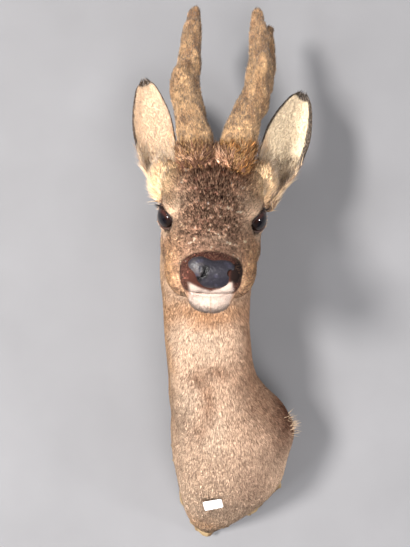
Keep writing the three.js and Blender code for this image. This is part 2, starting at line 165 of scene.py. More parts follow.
# ---- Skin ----
# The tanned hide, drawn tight over the form. It lies inside the outline of the coat by the depth of
# the hair, has lids, lips and a brow of its own, and is turned in round the edge of the back board.
EYE_CENTRE = np.array([39.2, 124.0, 0.0])
EYE_RADIUS = 14.8
EYE_TURN = 0.74
EYE_SLANT = 0.32
EYE_OUT = np.array([math.cos(EYE_TURN), -math.sin(EYE_TURN), 0.0])
EYE_LONG = np.array([math.sin(EYE_TURN) * math.cos(EYE_SLANT), math.cos(EYE_TURN) * math.cos(EYE_SLANT),
                     math.sin(EYE_SLANT)])
EYE_HIGH = np.cross(EYE_OUT, EYE_LONG)
EYE_OPENING = (14.2, 11.0)
LID_THICK = 1.7
# the recess left for the board starts this far inside the form's outline and goes this deep
BOARD_INSET, BOARD_THICK = 4.7, 12.4
# muscles and gristle: place in the head's frame (across, back, up), three radii, blend
HEAD_FEATURES = [
    ((36, 124, 13), (11, 20, 7), 12),        # brow
    ((36, 118, -18), (11, 30, 10), 14),      # cheekbone
    ((27, 84, -22), (12, 40, 20), 14),       # cheek
    ((22.5, 94, -38), (20.5, 50, 22), 15),   # jowl
    ((33, 142, -38), (16, 30, 24), 12),      # chewing muscle
    ((16.5, 14, -6), (9, 12, 10), 6),        # nostril wing
    ((12, 14, -15), (12.5, 11, 8.5), 4),     # upper lip
    ((0, 21, -33), (17, 15, 11), 5),         # chin
    ((41, 158, 22), (9, 16, 12), 14),        # root of the ear
    ((52, 168, 20), (11, 13, 20), 12),       # gristle under the ear
    ((17, 160, 53), (17, 16, 12), 9),        # stump of the antler
]
MOUTH_LINE = [(0, 5, -22), (11, 8, -22.5), (20, 20, -23), (25, 34, -25)]
NECK_FEATURES = [
    ((-22, -104, 150), (20, 34, 70), 16),    # muscle down each side of the throat
    ((24, -104, 150), (20, 34, 70), 16),
    ((63, -44, 71), (33, 29, 41), 16),       # point of the shoulder
]


def blob_level(x, y, z, place, radii):
    near = np.sqrt(((x - place[0]) / radii[0]) ** 2 + ((y - place[1]) / radii[1]) ** 2
                   + ((z - place[2]) / radii[2]) ** 2)
    return (near - 1) * (sum(radii) / 3)


def hair_depth(y, z, back, up, on_face):
    """How far the hair stands over the skin, in millimetres."""
    face = np.interp(back, (0, 20, 60, 100, 135, 160, 185), (0.9, 1.2, 1.8, 2.2, 3.2, 6.0, 6.5))
    face = face + 2.0 * fade(-up, 25, 45) * fade(back, 40, 90)
    body = np.interp(z - NOSE_TIP[2], (-319, -295, -200, 0, 90), (1.8, 2.6, 3.0, 3.2, 4.5))
    body = 1.5 + (body - 1.5) * fade(-y, 4, 34)
    return (face * on_face + body * (1 - on_face)).astype(np.float32)


def eye_frame(across, back, up):
    """Distances from the eyeball's centre along the opening, up it and out of it."""
    dx, dy, dz = np.abs(across) - EYE_CENTRE[0], back - EYE_CENTRE[1], up - EYE_CENTRE[2]
    return tuple(dx * axis[0] + dy * axis[1] + dz * axis[2] for axis in (EYE_LONG, EYE_HIGH, EYE_OUT))


def eye_ring(long, high):
    """One on the edge of the eye's opening, less inside it."""
    return np.sqrt((long / EYE_OPENING[0]) ** 2 + (high / EYE_OPENING[1]) ** 2)


def opening_level(long, high, out):
    """Below nothing inside the almond between the lids."""
    width = EYE_OPENING[1] * (1 - 0.22 * np.clip(-long / EYE_OPENING[0], 0, 1))
    almond = np.sqrt((long / EYE_OPENING[0]) ** 2 + (high / width) ** 2) - 1
    return np.maximum(almond * 10, -out)


def mouth_height(back):
    return np.interp(back, [p[1] for p in MOUTH_LINE], [p[2] for p in MOUTH_LINE])


def skin_level(x, y, z, with_head=True):
    """Below nothing inside the skin: the form, less the depth of its hair, with its features."""
    neck = neck_level(x, y, z)
    for place, radii, blend in NECK_FEATURES:
        neck = soft_min(neck, blob_level(x, y, z, place, radii) + 3.0, blend)
    if with_head:
        across, back, up = to_head(x, y, z)
        head = head_level(across, back, up)
        on_face = fade(neck - head, -8, 10)
        level = soft_min(head, neck, 14) + hair_depth(y, z, back, up, on_face)
        for place, radii, blend in HEAD_FEATURES:
            level = soft_min(level, blob_level(np.abs(across), back, up, place, radii), blend)
        long, high, out = eye_frame(across, back, up)
        ball = np.sqrt(long ** 2 + high ** 2 + out ** 2) - EYE_RADIUS
        level = soft_min(level, ball - LID_THICK, 3)
        level = np.maximum(level, -(ball - 0.1))
        level = soft_max(level, -opening_level(long, high, out), 0.8)
        groove = np.maximum(np.abs(up - mouth_height(back)) - 0.5, back - MOUTH_LINE[-1][1])
        level = soft_max(level, -np.maximum(groove, -3.2 - level), 1.2)
    else:
        nowhere = np.zeros_like(neck)
        level = neck + hair_depth(y, z, nowhere, nowhere, 0.0)
    board = np.maximum(neck_level(x, y, z, -BOARD_INSET), -BOARD_THICK - y)
    return np.maximum(np.maximum(level, -board), y)


def spaced(*stops):
    """Grid places from stops of (place, step) pairs, each step used up to the next stop."""
    runs = [np.arange(a, b, step) for (a, step), (b, _) in zip(stops, stops[1:])]
    return np.concatenate(runs + [[stops[-1][0]]]).astype(np.float32)


def net_over(level, xs, ys, zs):
    """A closed net of four-sided faces over the places where level is nothing."""
    inside = level < 0
    count = sum(inside[a:a + len(xs) - 1, b:b + len(ys) - 1, c:c + len(zs) - 1].astype(np.int8)
                for a in (0, 1) for b in (0, 1) for c in (0, 1))
    mixed = (count > 0) & (count < 8)
    number = np.full(mixed.shape, -1, np.int32)
    number[mixed] = np.arange(mixed.sum())
    cell = np.stack(np.nonzero(mixed), 1)
    total = np.zeros((len(cell), 3))
    crossings = np.zeros((len(cell), 1))
    for axis in range(3):
        one, two = [a for a in range(3) if a != axis]
        for shift in ((0, 0), (0, 1), (1, 0), (1, 1)):
            low = cell.copy()
            low[:, one] += shift[0]
            low[:, two] += shift[1]
            high = low.copy()
            high[:, axis] += 1
            a, b = level[tuple(low.T)], level[tuple(high.T)]
            crossed = (a < 0) != (b < 0)
            t = np.where(crossed, a / np.where(crossed, a - b, 1), 0)[:, None]
            low_place, high_place = (
                np.stack([g[ends[:, n]] for n, g in enumerate((xs, ys, zs))], 1) for ends in (low, high))
            total += np.where(crossed[:, None], low_place + (high_place - low_place) * t, 0)
            crossings += crossed[:, None]
    faces = []
    for axis in range(3):
        one, two = (axis + 1) % 3, (axis + 2) % 3
        starts, ends = [slice(None)] * 3, [slice(None)] * 3
        starts[axis], ends[axis] = slice(None, -1), slice(1, None)
        changed = inside[tuple(starts)] != inside[tuple(ends)]
        edge = np.stack(np.nonzero(changed), 1)
        edge = edge[(edge[:, one] > 0) & (edge[:, two] > 0)
                    & (edge[:, one] < number.shape[one]) & (edge[:, two] < number.shape[two])]
        ring = []
        for d_one, d_two in ((-1, -1), (0, -1), (0, 0), (-1, 0)):
            place = edge.copy()
            place[:, one] += d_one
            place[:, two] += d_two
            ring.append(number[tuple(place.T)])
        ring = np.stack(ring, 1)
        outward = inside[tuple(edge.T)]
        faces.append(np.where(outward[:, None], ring, ring[:, ::-1]))
    return total / crossings, np.concatenate(faces)


def settle(points, level_at, rounds=2, step=0.25):
    """Moves the net's points onto the surface itself."""
    for _ in range(rounds):
        level = level_at(*points.T)
        ahead = [level_at(*(points + offset).T) for offset in np.eye(3) * step]
        slope = np.stack([value - level for value in ahead], 1) / step
        move = -level[:, None] * slope / np.maximum((slope ** 2).sum(1), 0.3)[:, None]
        points = points + np.clip(move, -0.8, 0.8)
    return points


def evened(points, faces, share=0.5):
    """Draws each point of a net towards the middle of its neighbours."""
    total = np.zeros_like(points)
    count = np.zeros((len(points), 1))
    for a in range(4):
        for b in ((a + 1) % 4, (a - 1) % 4):
            np.add.at(total, faces[:, a], points[faces[:, b]])
            np.add.at(count, faces[:, a], 1.0)
    return points + share * (total / np.maximum(count, 1) - points)


def normals_of(points, faces):
    one = points[faces[:, 2]] - points[faces[:, 0]]
    two = points[faces[:, 3 % faces.shape[1]]] - points[faces[:, 1]]
    flat = np.cross(one, two)
    total = np.zeros_like(points)
    for c in range(faces.shape[1]):
        np.add.at(total, faces[:, c], flat)
    return total / np.maximum(np.linalg.norm(total, axis=1, keepdims=True), 1e-9)


def put_in_place(name, mesh):
    """A finished piece that rides on the mount."""
    piece = bpy.data.objects.new(name, mesh)
    bpy.context.scene.collection.objects.link(piece)
    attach(piece, "root")
    return piece


def make_piece(name, points, faces, material, replaces=(), colours=None, flow=None):
    """A piece of the mount from points in millimetres, painted point by point."""
    mesh = bpy.data.meshes.new(name)
    mesh.vertices.add(len(points))
    mesh.vertices.foreach_set("co", (np.asarray(points) * MM).astype(np.float32).ravel())
    corners = faces.shape[1]
    mesh.loops.add(faces.size)
    mesh.loops.foreach_set("vertex_index", faces.astype(np.int32).ravel())
    mesh.polygons.add(len(faces))
    mesh.polygons.foreach_set("loop_start", np.arange(0, faces.size, corners, dtype=np.int32))
    mesh.polygons.foreach_set("use_smooth", np.ones(len(faces), bool))
    mesh.update(calc_edges=True)
    if colours is not None:
        opaque = np.column_stack([colours, np.ones(len(colours))]).astype(np.float32)
        mesh.color_attributes.new("coat", "FLOAT_COLOR", "POINT").data.foreach_set("color", opaque.ravel())
    if flow is not None:
        layer = mesh.uv_layers.new(name="OFBake")
        layer.data.foreach_set("uv", flow[faces.ravel()].astype(np.float32).ravel())
    mesh.materials.append(material)
    piece = put_in_place(name, mesh)
    if replaces:
        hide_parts(*replaces)


XS = spaced((-62.0, 1.42), (60.0, 2.5), (104.0, 1))
YS = spaced((-268.0, 1.42), (-140.0, 2.1), (-14.0, 1.42), (3.0, 1))
ZS = spaced((-76.0, 2.8), (196.0, 1.47), (392.0, 1))
# the grid is filled a slab at a time, and the slabs under the head leave it out
HEAD_FLOOR = 190.0
SLAB = 24
skin_grid = np.empty((len(XS), len(YS), len(ZS)), np.float32)
for first in range(0, len(ZS), SLAB):
    rows = ZS[first:first + SLAB]
    skin_grid[:, :, first:first + SLAB] = skin_level(
        XS[:, None, None], YS[None, :, None], rows[None, None, :], rows.max() > HEAD_FLOOR)
skin_points, skin_faces = net_over(skin_grid, XS, YS, ZS)
skin_points = settle(evened(skin_points, skin_faces), skin_level)

# ---- Markings ----
# A fawn coat, browner towards the wall: a dark forehead and bridge, pale rings round the eyes, a
# maroon band round the nose, a white chin and lip edge, and dark stray patches on the throat.
# Some patches also carry painted shade and painted light, each noted where it stands.
NOISE_CELLS = 32


def value_noise(points, scale, seed):
    """Smooth lumps from -1 to 1, one scale across."""
    table = np.random.default_rng(seed).uniform(-1, 1, (NOISE_CELLS,) * 3).astype(np.float32)
    place = np.asarray(points) / scale
    cell = np.floor(place).astype(int)
    t = place - cell
    t = t * t * (3 - 2 * t)
    total = np.zeros(len(place))
    for corner in np.ndindex(2, 2, 2):
        weight = np.prod(np.where(corner, t, 1 - t), axis=1)
        i, j, k = ((cell + corner) % NOISE_CELLS).T
        total += weight * table[i, j, k]
    return total


def swirl(points, scale, seed):
    """Smooth lumps of its own in each of the three directions."""
    return np.stack([value_noise(points, scale, seed + k) for k in range(3)], 1)


def tone(red, green, blue):
    """A hair colour from its 0-255 code, in the linear values that paint takes."""
    code = np.array([red, green, blue]) / 255
    return np.where(code <= 0.04045, code / 12.92, ((code + 0.055) / 1.055) ** 2.4)


def toward(colours, other, weight):
    return colours + (other - colours) * weight[:, None]


def layered(colours, *layers):
    """Colours with others laid over them in turn, each by its weight at every place."""
    for other, weight in layers:
        colours = toward(colours, other, weight)
    return colours


FAWN, BROWN, THROAT = tone(218, 188, 162), tone(144, 108, 84), tone(218, 194, 170)
OCHRE, GOLD, RUST = tone(204, 154, 106), tone(170, 120, 66), tone(128, 74, 42)
UMBER, GRIZZLE, TAN = tone(94, 64, 53), tone(152, 114, 96), tone(196, 154, 126)
CREAM, WHITE, MAROON = tone(226, 196, 168), tone(196, 176, 164), tone(60, 30, 26)
BLACK, DRIED, EAR_TAN = tone(26, 18, 16), tone(128, 102, 74), tone(232, 197, 154)
# patches on the neck and shoulders: across, height over the nose, two radii, colour, strength
BODY_PATCHES = [
    (-5, -40, 46, 14, tone(196, 142, 96), 0.8), (-20, -62, 34, 14, THROAT, 0.7),
    (4, -80, 24, 14, THROAT, 0.4), (9, -99, 12, 8, BROWN, 0.75), (-13, -107, 9, 10, BROWN, 0.85),
    (-3, -125, 9, 14, BROWN, 0.85), (2, -141, 8, 12, BROWN, 0.7), (-9, -163, 9, 13, BROWN, 0.7),
    (-23, -129, 12, 18, THROAT, 0.6), (9, -152, 8, 18, THROAT, 0.7), (1, -173, 13, 12, THROAT, 0.7),
    # The last patch on the next line and the one after darken the rim of the shoulder on the animal's left:
    # partly the back coat's own red-brown, partly painted shade on the side turned from the lamp.
    (-52, -90, 12, 120, OCHRE, 0.7), (93, -152, 30, 40, tone(84, 38, 20), 1.0),
    (95, -144, 16, 28, tone(38, 16, 10), 0.95),
    # The next line browns the animal's left side of the neck: partly its own browner coat, partly painted
    # shade on the side away from the lamp.
    (50, -60, 24, 80, BROWN, 0.9), (30, -104, 22, 26, BROWN, 0.25), (60, -130, 30, 40, BROWN, 0.55),
    (46, -225, 26, 34, GRIZZLE, 0.35), (-10, -292, 26, 14, OCHRE, 0.5),
]
# patches on the head: across, back, up, three radii, colour, strength, whether on both sides, squareness
FACE_PATCHES = [
    (-3, 110, 34, 25, 58, 40, tone(80, 53, 43), 0.97, 0, 4),
    (0, 52, 16, 23, 40, 22, tone(176, 138, 116), 0.78, 0, 4),
    (-8, 120, 40, 18, 24, 30, MAROON, 0.6, 0, 2), (-10, 62, 18, 11, 22, 14, UMBER, 0.75, 0, 2),
    (12, 46, 14, 12, 16, 12, UMBER, 0.5, 0, 2), (8, 40, 14, 12, 7, 10, CREAM, 0.45, 0, 2),
    (27, 142, 44, 11, 24, 18, RUST, 0.8, 0, 2), (22, 158, 52, 14, 10, 14, GOLD, 0.8, 0, 2),
    (-24, 160, 52, 12, 9, 14, GOLD, 0.7, 0, 2), (34, 106, 17, 10, 20, 12, CREAM, 0.9, 1, 2),
    (33, 88, 6, 9, 24, 14, CREAM, 0.55, 1, 2), (48, 130, -26, 14, 30, 12, CREAM, 0.4, 1, 2),
    # The first patch on the next line paints the lower cheeks paler near the jaw's edge: partly their own
    # ochre, partly painted light filling the shade there.
    (40, 60, -30, 15, 44, 26, tone(222, 172, 124), 0.9, 1, 2), (50, 140, -50, 20, 30, 24, OCHRE, 0.55, 1, 2),
    (0, 60, -52, 24, 40, 14, CREAM, 0.8, 0, 2), (50, 148, 26, 16, 34, 28, EAR_TAN, 1.0, 1, 3),
    (0, 38, -50, 24, 22, 12, tone(226, 178, 132), 1.0, 0, 2),
]


def coat_colour(points):
    """The markings at places on the hide, with some painted shade and painted light among them."""
    x, y, z = points.T
    across, back, up = to_head(x, y, z)
    side = np.abs(across)
    on_face = fade(neck_level(x, y, z) - head_level(across, back, up), -6, 8)
    h = z - NOSE_TIP[2]
    wander = 5 * value_noise(points, 14, 1) + 2.5 * value_noise(points, 5, 2)
    body = toward(FAWN, BROWN, 0.8 * fade(y + 0.4 * wander, -80, -15) * fade(h, -300, -150))
    for px, ph, rx, rh, colour, strength in BODY_PATCHES:
        near = ((x + wander - px) / rx) ** 2 + ((h + wander - ph) / rh) ** 2
        body = toward(body, colour, strength * np.exp(-near * 0.9) * fade(-y, -10, 15))
    face = TAN
    for pa, pb, pu, ra, rb, ru, colour, strength, both, square in FACE_PATCHES:
        place = side if both else across
        near = (np.abs((place + wander - pa) / ra) ** square + np.abs((back + wander - pb) / rb) ** square
                + np.abs((up - pu) / ru) ** square)
        face = toward(face, colour, strength * np.exp(-near * 0.9))
    long, high, out = eye_frame(across, back, up)
    ring = eye_ring(long, high)
    tear = np.hypot((long + 16.5) / 4.5, (high + 1.5) / 2.6)
    band = 21.5 + 0.02 * side + 0.2 * wander - back
    mouth = mouth_height(back)
    between = fade(20 - side + 0.35 * wander, 0, 3)
    lip = between * fade(-20 - up + 0.55 * side + 3 * fade(across, 6, 18), -1, 1.5) * fade(22 - back, 0, 4)
    chin = between * fade(mouth - up, 0, 1.5) * fade(up, -57, -51)
    # Black on the skin in the nostril on the animal's left: painted shade in its hollow.
    nostril = fade(9.5 - np.hypot(across - 23, up + 3), 0, 3) * fade(24 - back, 0, 4)
    middle = fade(0.9 - np.abs(across - 0.6), 0, 0.6) * fade(mouth - 1 - up, 0, 2) * fade(30 - back, 0, 6)
    face = layered(
        face,
        (CREAM, 0.9 * np.exp(-((ring - 1.3) / 0.4) ** 2) * (out > 2)),
        (BLACK, 0.94 * fade(1.2 + 0.2 * np.clip(high / 6, 0, 1) - ring, 0, 0.12) * (out > 0)),
        (tone(70, 54, 48), 0.9 * fade(1.2 - tear, 0, 0.5) * (out > -2)),
        (MAROON, 0.97 * fade(band, 0, 4) * fade(up, -27, -22)),
        (WHITE, 0.97 * np.maximum(lip * fade(up - mouth, -1, 0), chin * fade(40 - back, 0, 6))),
        (MAROON, 0.35 * fade(0.9 - np.abs(up - mouth), 0, 0.8) * fade(24 - back, 0, 6)),
        (BROWN, 0.45 * middle),
        (BLACK, 0.95 * nostril))
    colours = face * on_face[:, None] + body * (1 - on_face[:, None])
    dried = fade(6 - (h - NECK_STATIONS[0, 0]) * 0.25 + wander, 0, 4) * 0.6
    colours = colours * (1.0 + 0.1 * (1 - on_face) - 0.29 * (1 - on_face) * fade(h, -250, -150))[:, None]
    return np.clip(toward(colours, DRIED, dried), 0, 1)


def new_paint(name, **sockets):
    """A material with the shader's own sockets set by name, its node tree and its shader."""
    paint = bpy.data.materials.new(name)
    paint.use_nodes = True
    shader = paint.node_tree.nodes["Principled BSDF"]
    for socket, value in sockets.items():
        shader.inputs[socket.replace("_", " ")].default_value = value
    return paint, paint.node_tree, shader


def add_node(tree, kind, inputs=(), **settings):
    """A node with its settings, and with inputs that are either a value or another node's output."""
    node = tree.nodes.new(kind)
    for setting, value in settings.items():
        setattr(node, setting, value)
    for socket, value in dict(inputs).items():
        if isinstance(value, bpy.types.NodeSocket):
            tree.links.new(value, node.inputs[socket])
        else:
            node.inputs[socket].default_value = value
    return node


def in_object(tree):
    return add_node(tree, "ShaderNodeTexCoord").outputs["Object"]


def add_bump(tree, height, strength, lift):
    bump = add_node(tree, "ShaderNodeBump", {"Height": height, "Strength": strength, "Distance": lift})
    tree.links.new(bump.outputs["Normal"], tree.nodes["Principled BSDF"].inputs["Normal"])


def hair_paint(name, rough, sheen, gloss=0.05):
    """Paint that takes its colour from the colours painted at each point, markings with some painted shade
    and light among them, and a fine grain over them.
    """
    paint, tree, shader = new_paint(name, Roughness=rough, Sheen_Weight=sheen, Specular_IOR_Level=gloss)
    marks = add_node(tree, "ShaderNodeAttribute", attribute_name="coat")
    grain = add_node(tree, "ShaderNodeTexNoise", {"Vector": in_object(tree), "Scale": 900, "Detail": 3})
    shift = add_node(tree, "ShaderNodeMapRange",
                     {"Value": grain.outputs["Fac"], "To Min": 0.72, "To Max": 1.28})
    mix = add_node(tree, "ShaderNodeVectorMath",
                   {0: marks.outputs["Color"], "Scale": shift.outputs["Result"]}, operation="SCALE")
    tree.links.new(mix.outputs["Vector"], shader.inputs["Base Color"])
    return paint


def map_over(points, centre_x=0.0, centre_y=-80.0):
    """Where each place lies on the hide opened out flat: round the middle, and up."""
    round_it = np.arctan2(points[:, 0] - centre_x, -(points[:, 1] - centre_y)) / (2 * math.pi) + 0.5
    rise = points[:, 2]
    return np.stack([round_it, (rise - rise.min()) / (np.ptp(rise) + 1e-6)], 1) * 0.96 + 0.02


# ---- Ears ----
# Leaves of gristle rolled into a cup at the root, one turned a little more than the other: pale
# inside, brown behind, with a black rim and tip. They are sewn into the skin as one piece with it.
EAR_LENGTH, EAR_HALF_WIDTH, EAR_WALL, EAR_ROOT, EAR_TRIM = 128.0, 22.5, 2.0, 14.0, 1.0
# along the ear, half width, roll of the leaf in degrees
EAR_LEAF = np.array([(0, .5, 300), (.14, .62, 245), (.30, .88, 165), (.48, 1.0, 140), (.64, .98, 124),
                     (.80, .78, 112), (.93, .52, 95), (1, .22, 80)], dtype=np.float32)
EARS = {"right": (-1, 0.12, 1.0, (-47, -119, 342), (-73, -85, 468)),
        "left": (1, 0.10, 1.12, (59, -119, 334), (104, -85, 450))}
leaf_half, leaf_roll = curve_through(EAR_LEAF, 1), curve_through(EAR_LEAF, 2)


def unit(vectors):
    vectors = np.asarray(vectors, float)
    return vectors / np.maximum(np.linalg.norm(vectors, axis=-1, keepdims=True), 1e-9)


def ear_axes(which):
    side, turn, spread, root, tip = EARS[which]
    root, tip = np.array(root, float), np.array(tip, float)
    along = unit(tip - root)
    hollow = np.array([side * math.sin(turn), -math.cos(turn), 0])
    hollow = unit(hollow - along * (hollow @ along))
    return side, spread, root - along * EAR_ROOT, along, np.cross(hollow, along), hollow


def ear_place(which, at, place, wall_side):
    """Places on the ear: at runs root to tip, place edge to edge, wall_side is 1 on the back."""
    _, spread, start, along, across, hollow = ear_axes(which)
    half = EAR_HALF_WIDTH * leaf_half(at) * spread - EAR_TRIM * fade(at, 0.0, 0.2)
    half = np.maximum(half, 0.4)
    roll = np.radians(leaf_roll(at))
    radius = np.where(roll > math.pi, half, half / np.sin(np.minimum(roll, math.pi) / 2))
    angle = place * roll / 2
    reach = radius + wall_side * EAR_WALL / 2 * (1 - 0.7 * np.abs(place))
    ripple = 0.5 * np.sin(place * 9 + at * 5) * (wall_side < 0) * (1 - place ** 2)
    reach = reach + ripple
    sideways = reach * np.sin(angle)
    inward = radius * (0.4 + 0.6 * np.cos(roll / 2)) - reach * np.cos(angle)
    return (start + along * (EAR_LENGTH + EAR_ROOT) * at[..., None] + across * sideways[..., None]
            + hollow * inward[..., None])


def ring_faces(rings, around, closed=False):
    """Four-sided faces over rings of points, each ring joined to the next."""
    i, k = np.meshgrid(np.arange(rings if closed else rings - 1), np.arange(around), indexing="ij")
    one, two = i * around + k, i * around + (k + 1) % around
    onward = ((i + 1) % rings - i) * around
    return np.stack([one, two, two + onward, one + onward], -1).reshape(-1, 4)


def ear_shell(which, stations=64, steps=26):
    """The leaf as a net wound to face into it, with each point's place along it, across it and wall."""
    places = np.linspace(-1, 1, steps)
    ring_place = np.concatenate([places, places[::-1]])
    ring_wall = np.concatenate([np.ones(steps), -np.ones(steps)])
    at, place = np.meshgrid(np.linspace(0, 1, stations), ring_place, indexing="ij")
    wall = np.broadcast_to(ring_wall, at.shape)
    points = ear_place(which, at, place, wall).reshape(-1, 3)
    count = len(ring_place)
    caps = [[start + k, start + k + 1, start + count - 2 - k, start + count - 1 - k][::turn]
            for start, turn in ((0, -1), ((stations - 1) * count, 1)) for k in range(steps - 1)]
    faces = np.concatenate([ring_faces(stations, count), np.array(caps)])[:, ::-1]
    return points, faces, at.ravel(), place.ravel(), wall.ravel()


def ear_colour(which, at, place, back_of_ear, points):
    side = EARS[which][0]
    wander = value_noise(points, 6, 7)
    outer_edge = place * side
    mottled = (which == "left") * 0.5 * fade(wander, 0.25, 0.6) * fade(0.5 - at, 0, 0.2)
    # The inside of the ear on the lamp's side is painted darker than the one in shade, and the lower inside
    # paler: painted light that evens out the lamp and fills the shade in the cup.
    inside = layered(
        tone(190, 162, 134) if which == "right" else tone(216, 196, 166),
        (OCHRE, 0.75 * fade(outer_edge + 0.15 * wander, 0.35, 0.8) * fade(0.62 - at, 0, 0.25)),
        (tone(236, 202, 162), 0.7 * fade(0.45 - at, 0, 0.25)), (BROWN, mottled))
    outside = toward(tone(150, 118, 92), UMBER, fade(at, 0.3, 0.9) * 0.8)
    colours = np.where(back_of_ear[:, None], outside, inside)
    rim_width = (0.19 if side > 0 else 0.07) + 0.02 * wander
    rim = fade(np.abs(place) - (1 - rim_width * np.where(outer_edge < 0, 1.3, 0.6)), 0, 0.04)
    rim = np.maximum(rim * fade(at, 0.2, 0.35), fade(at + 0.014 * wander, 0.94, 0.962))
    return np.clip(toward(colours, BLACK, 0.95 * rim), 0, 1)


# The hide, the ear leaves and the velvet under the hair are painted darker by these shares: painted shade
# between the tufts.
HIDE_PAINTED_SHADE, EAR_PAINTED_SHADE, VELVET_PAINTED_SHADE = 0.62, 0.95, 0.85
hide_points, hide_faces = [skin_points], [skin_faces]
hide_colours = [coat_colour(skin_points) * HIDE_PAINTED_SHADE]
ear_nets = {}
for which in EARS:
    ear_nets[which] = points, faces, at, place, wall = ear_shell(which)
    hide_faces.append(faces + sum(len(p) for p in hide_points))
    hide_points.append(points)
    hide_colours.append(ear_colour(which, at, place, wall > 0, points) * EAR_PAINTED_SHADE)
hide_paint = hair_paint("hide", 0.8, 0.02)
make_piece("skin", np.concatenate(hide_points), np.concatenate(hide_faces), hide_paint,
           ("head", "lower_jaw", "neck_upper", "neck_lower", "shoulders", "ear_right", "ear_left"),
           np.concatenate(hide_colours))

# ---- Coat ----
# Stiff hollow hair in short tufts, each rooted in the skin and lying over the next: back from the
# nose over the face, down the neck, finest round the mouth and bushy round the antlers.
TUFT_ON_MAP = 0.0015


def roots_on(points, faces, weight_at, count, seed):
    """Random roots over a net, spread by area and by the weight at each place."""
    dice = np.random.default_rng(seed)
    triangles = np.concatenate([faces[:, [0, 1, 2]], faces[:, [0, 2, 3]]])
    a, b, c = (points[triangles[:, k]] for k in range(3))
    area = np.linalg.norm(np.cross(b - a, c - a), axis=1) / 2 * weight_at((a + b + c) / 3)
    pick = dice.choice(len(triangles), count, p=area / area.sum())
    u, v = dice.random(count), dice.random(count)
    u, v = np.where(u + v > 1, 1 - u, u), np.where(u + v > 1, 1 - v, v)
    w = 1 - u - v
    corners = triangles[pick]

    def carry(values):
        """A value of the net's points, carried to the roots."""
        parts = [(values[corners[:, k]].T * share).T for k, share in enumerate((w, u, v))]
        return parts[0] + parts[1] + parts[2]

    return carry(points), unit(carry(normals_of(points, faces))), carry


def grow_tufts(name, paint, roots, normals, lie, length, width, lift, colours, tips, flat_places,
               bent=True, root_painted_shade=0.7):
    """A piece of closed tapering tufts: a three-sided root, a bend where they are long, and a point."""
    n = unit(normals)
    f = unit(lie - n * (lie * n).sum(1, keepdims=True))
    s = np.cross(n, f)
    lift = lift[:, None]
    length, width = length[:, None], width[:, None]
    first = f * np.cos(lift) + n * np.sin(lift)
    last = f * np.cos(lift * 0.3) + n * np.sin(lift * 0.3)
    base = roots - n * 0.4
    ring = [-s * 0.5, s * 0.5, n * 0.4]
    rows = [base + r * width for r in ring]
    # The root ends of each tuft are painted darker: painted shade deep in the coat, partly also the hair's
    # own darker base.
    shades = [colours * root_painted_shade] * 3
    shift = [(-1, -1), (1, -1), (0, -1)]
    if bent:
        middle = base + first * length * 0.5
        rows += [middle + r * width * 0.75 for r in ring]
        shades += [colours] * 3
        shift += [(-0.8, 0.2), (0.8, 0.2), (0, 0.2)]
        rows.append(middle + last * length * 0.5)
        shape = [(0, 2, 1), (0, 1, 4), (0, 4, 3), (1, 2, 5), (1, 5, 4), (2, 0, 3), (2, 3, 5), (3, 4, 6),
                 (4, 5, 6), (5, 3, 6)]
    else:
        rows.append(base + (first * 0.5 + last * 0.5) * length)
        shape = [(0, 2, 1), (0, 1, 3), (1, 2, 3), (2, 0, 3)]
    shades.append(tips)
    shift.append((0, 1))
    each = len(rows)
    points = np.stack(rows, 1).reshape(-1, 3)
    faces = (np.arange(len(roots))[:, None, None] * each + np.array(shape)).reshape(-1, 3)
    flow = (flat_places[:, None, :] + np.array(shift) * TUFT_ON_MAP).reshape(-1, 2)
    make_piece(name, points, faces, paint, (), np.clip(np.stack(shades, 1).reshape(-1, 3), 0, 1), flow)


def lie_of(roots, seed):
    """The way the hair lies at each root, with its clumps and its strays."""
    across, back, up = to_head(*roots.T)
    on_face = fade(neck_level(*roots.T) - head_level(across, back, up), -8, 14)[:, None]
    side_way, back_way, up_way = HEAD_TURN.T
    spread = np.clip(across / 40, -1, 1)[:, None]
    crown = fade(back, 135, 160)[:, None]
    low = fade(-up, 5, 40)[:, None]
    face = back_way + side_way * spread * 0.35 - up_way * low * 0.35 + up_way * crown * 1.4
    chin = (fade(-23 - up, 0, 4) * fade(40 - back, 0, 20))[:, None]
    face = face * (1 - chin) + chin * (-up_way + back_way * 0.5 + side_way * spread * 0.4)
    body = np.array([0, 0.12, -1.0]) + np.array([1.0, 0, 0]) * np.clip(roots[:, :1] / 90, -1, 1) * 0.25
    lie = face * on_face + body * (1 - on_face)
    stray = np.random.default_rng(seed).normal(0, 1, roots.shape)
    return unit(lie) + swirl(roots, 7, seed) * 0.25 + stray * 0.16


def flecked(colours, places, seed, dark_share, pale_share, dark=UMBER, pale=THROAT, depth=0.75,
            clump=0.8, grain=1.6):
    """Tuft and tip colours: light and dark clumps, and every tuft in them a little different."""
    dice = np.random.default_rng(seed)
    count = len(colours)
    mottle = value_noise(places, grain, seed) * 0.75 + value_noise(places, grain * 2.2, seed + 1) * 0.35
    base = colours * np.exp(clump * (mottle - 0.1))[:, None] * dice.uniform(0.8, 1.2, count)[:, None]
    tips = base * dice.uniform(0.85, 1.2, count)[:, None]
    pick = dice.random(count)
    is_dark, is_pale = pick < dark_share, pick > 1 - pale_share
    base = toward(toward(base, dark, 0.6 * depth * is_dark), pale, 0.3 * is_pale)
    tips = toward(toward(tips, dark * 0.8, depth * is_dark), pale, 0.75 * is_pale)
    return base, tips


def bare_places(points):
    """Nothing where no hair grows: on the wall face, round the board, on the eye and the nose pad."""
    x, y, z = points.T
    across, back, up = to_head(x, y, z)
    long, high, out = eye_frame(across, back, up)
    eye = (eye_ring(long, high) < 1.16) & (out > 0)
    pad = (((across - 2.6) / 20) ** 2 + ((up + 5.5) / 12) ** 2 < 1) & (back < 14)
    board = (neck_level(x, y, z, -4.0) < 0) & (y > -13.5)
    return ((y < -1.2) & ~eye & ~pad & ~board).astype(float)


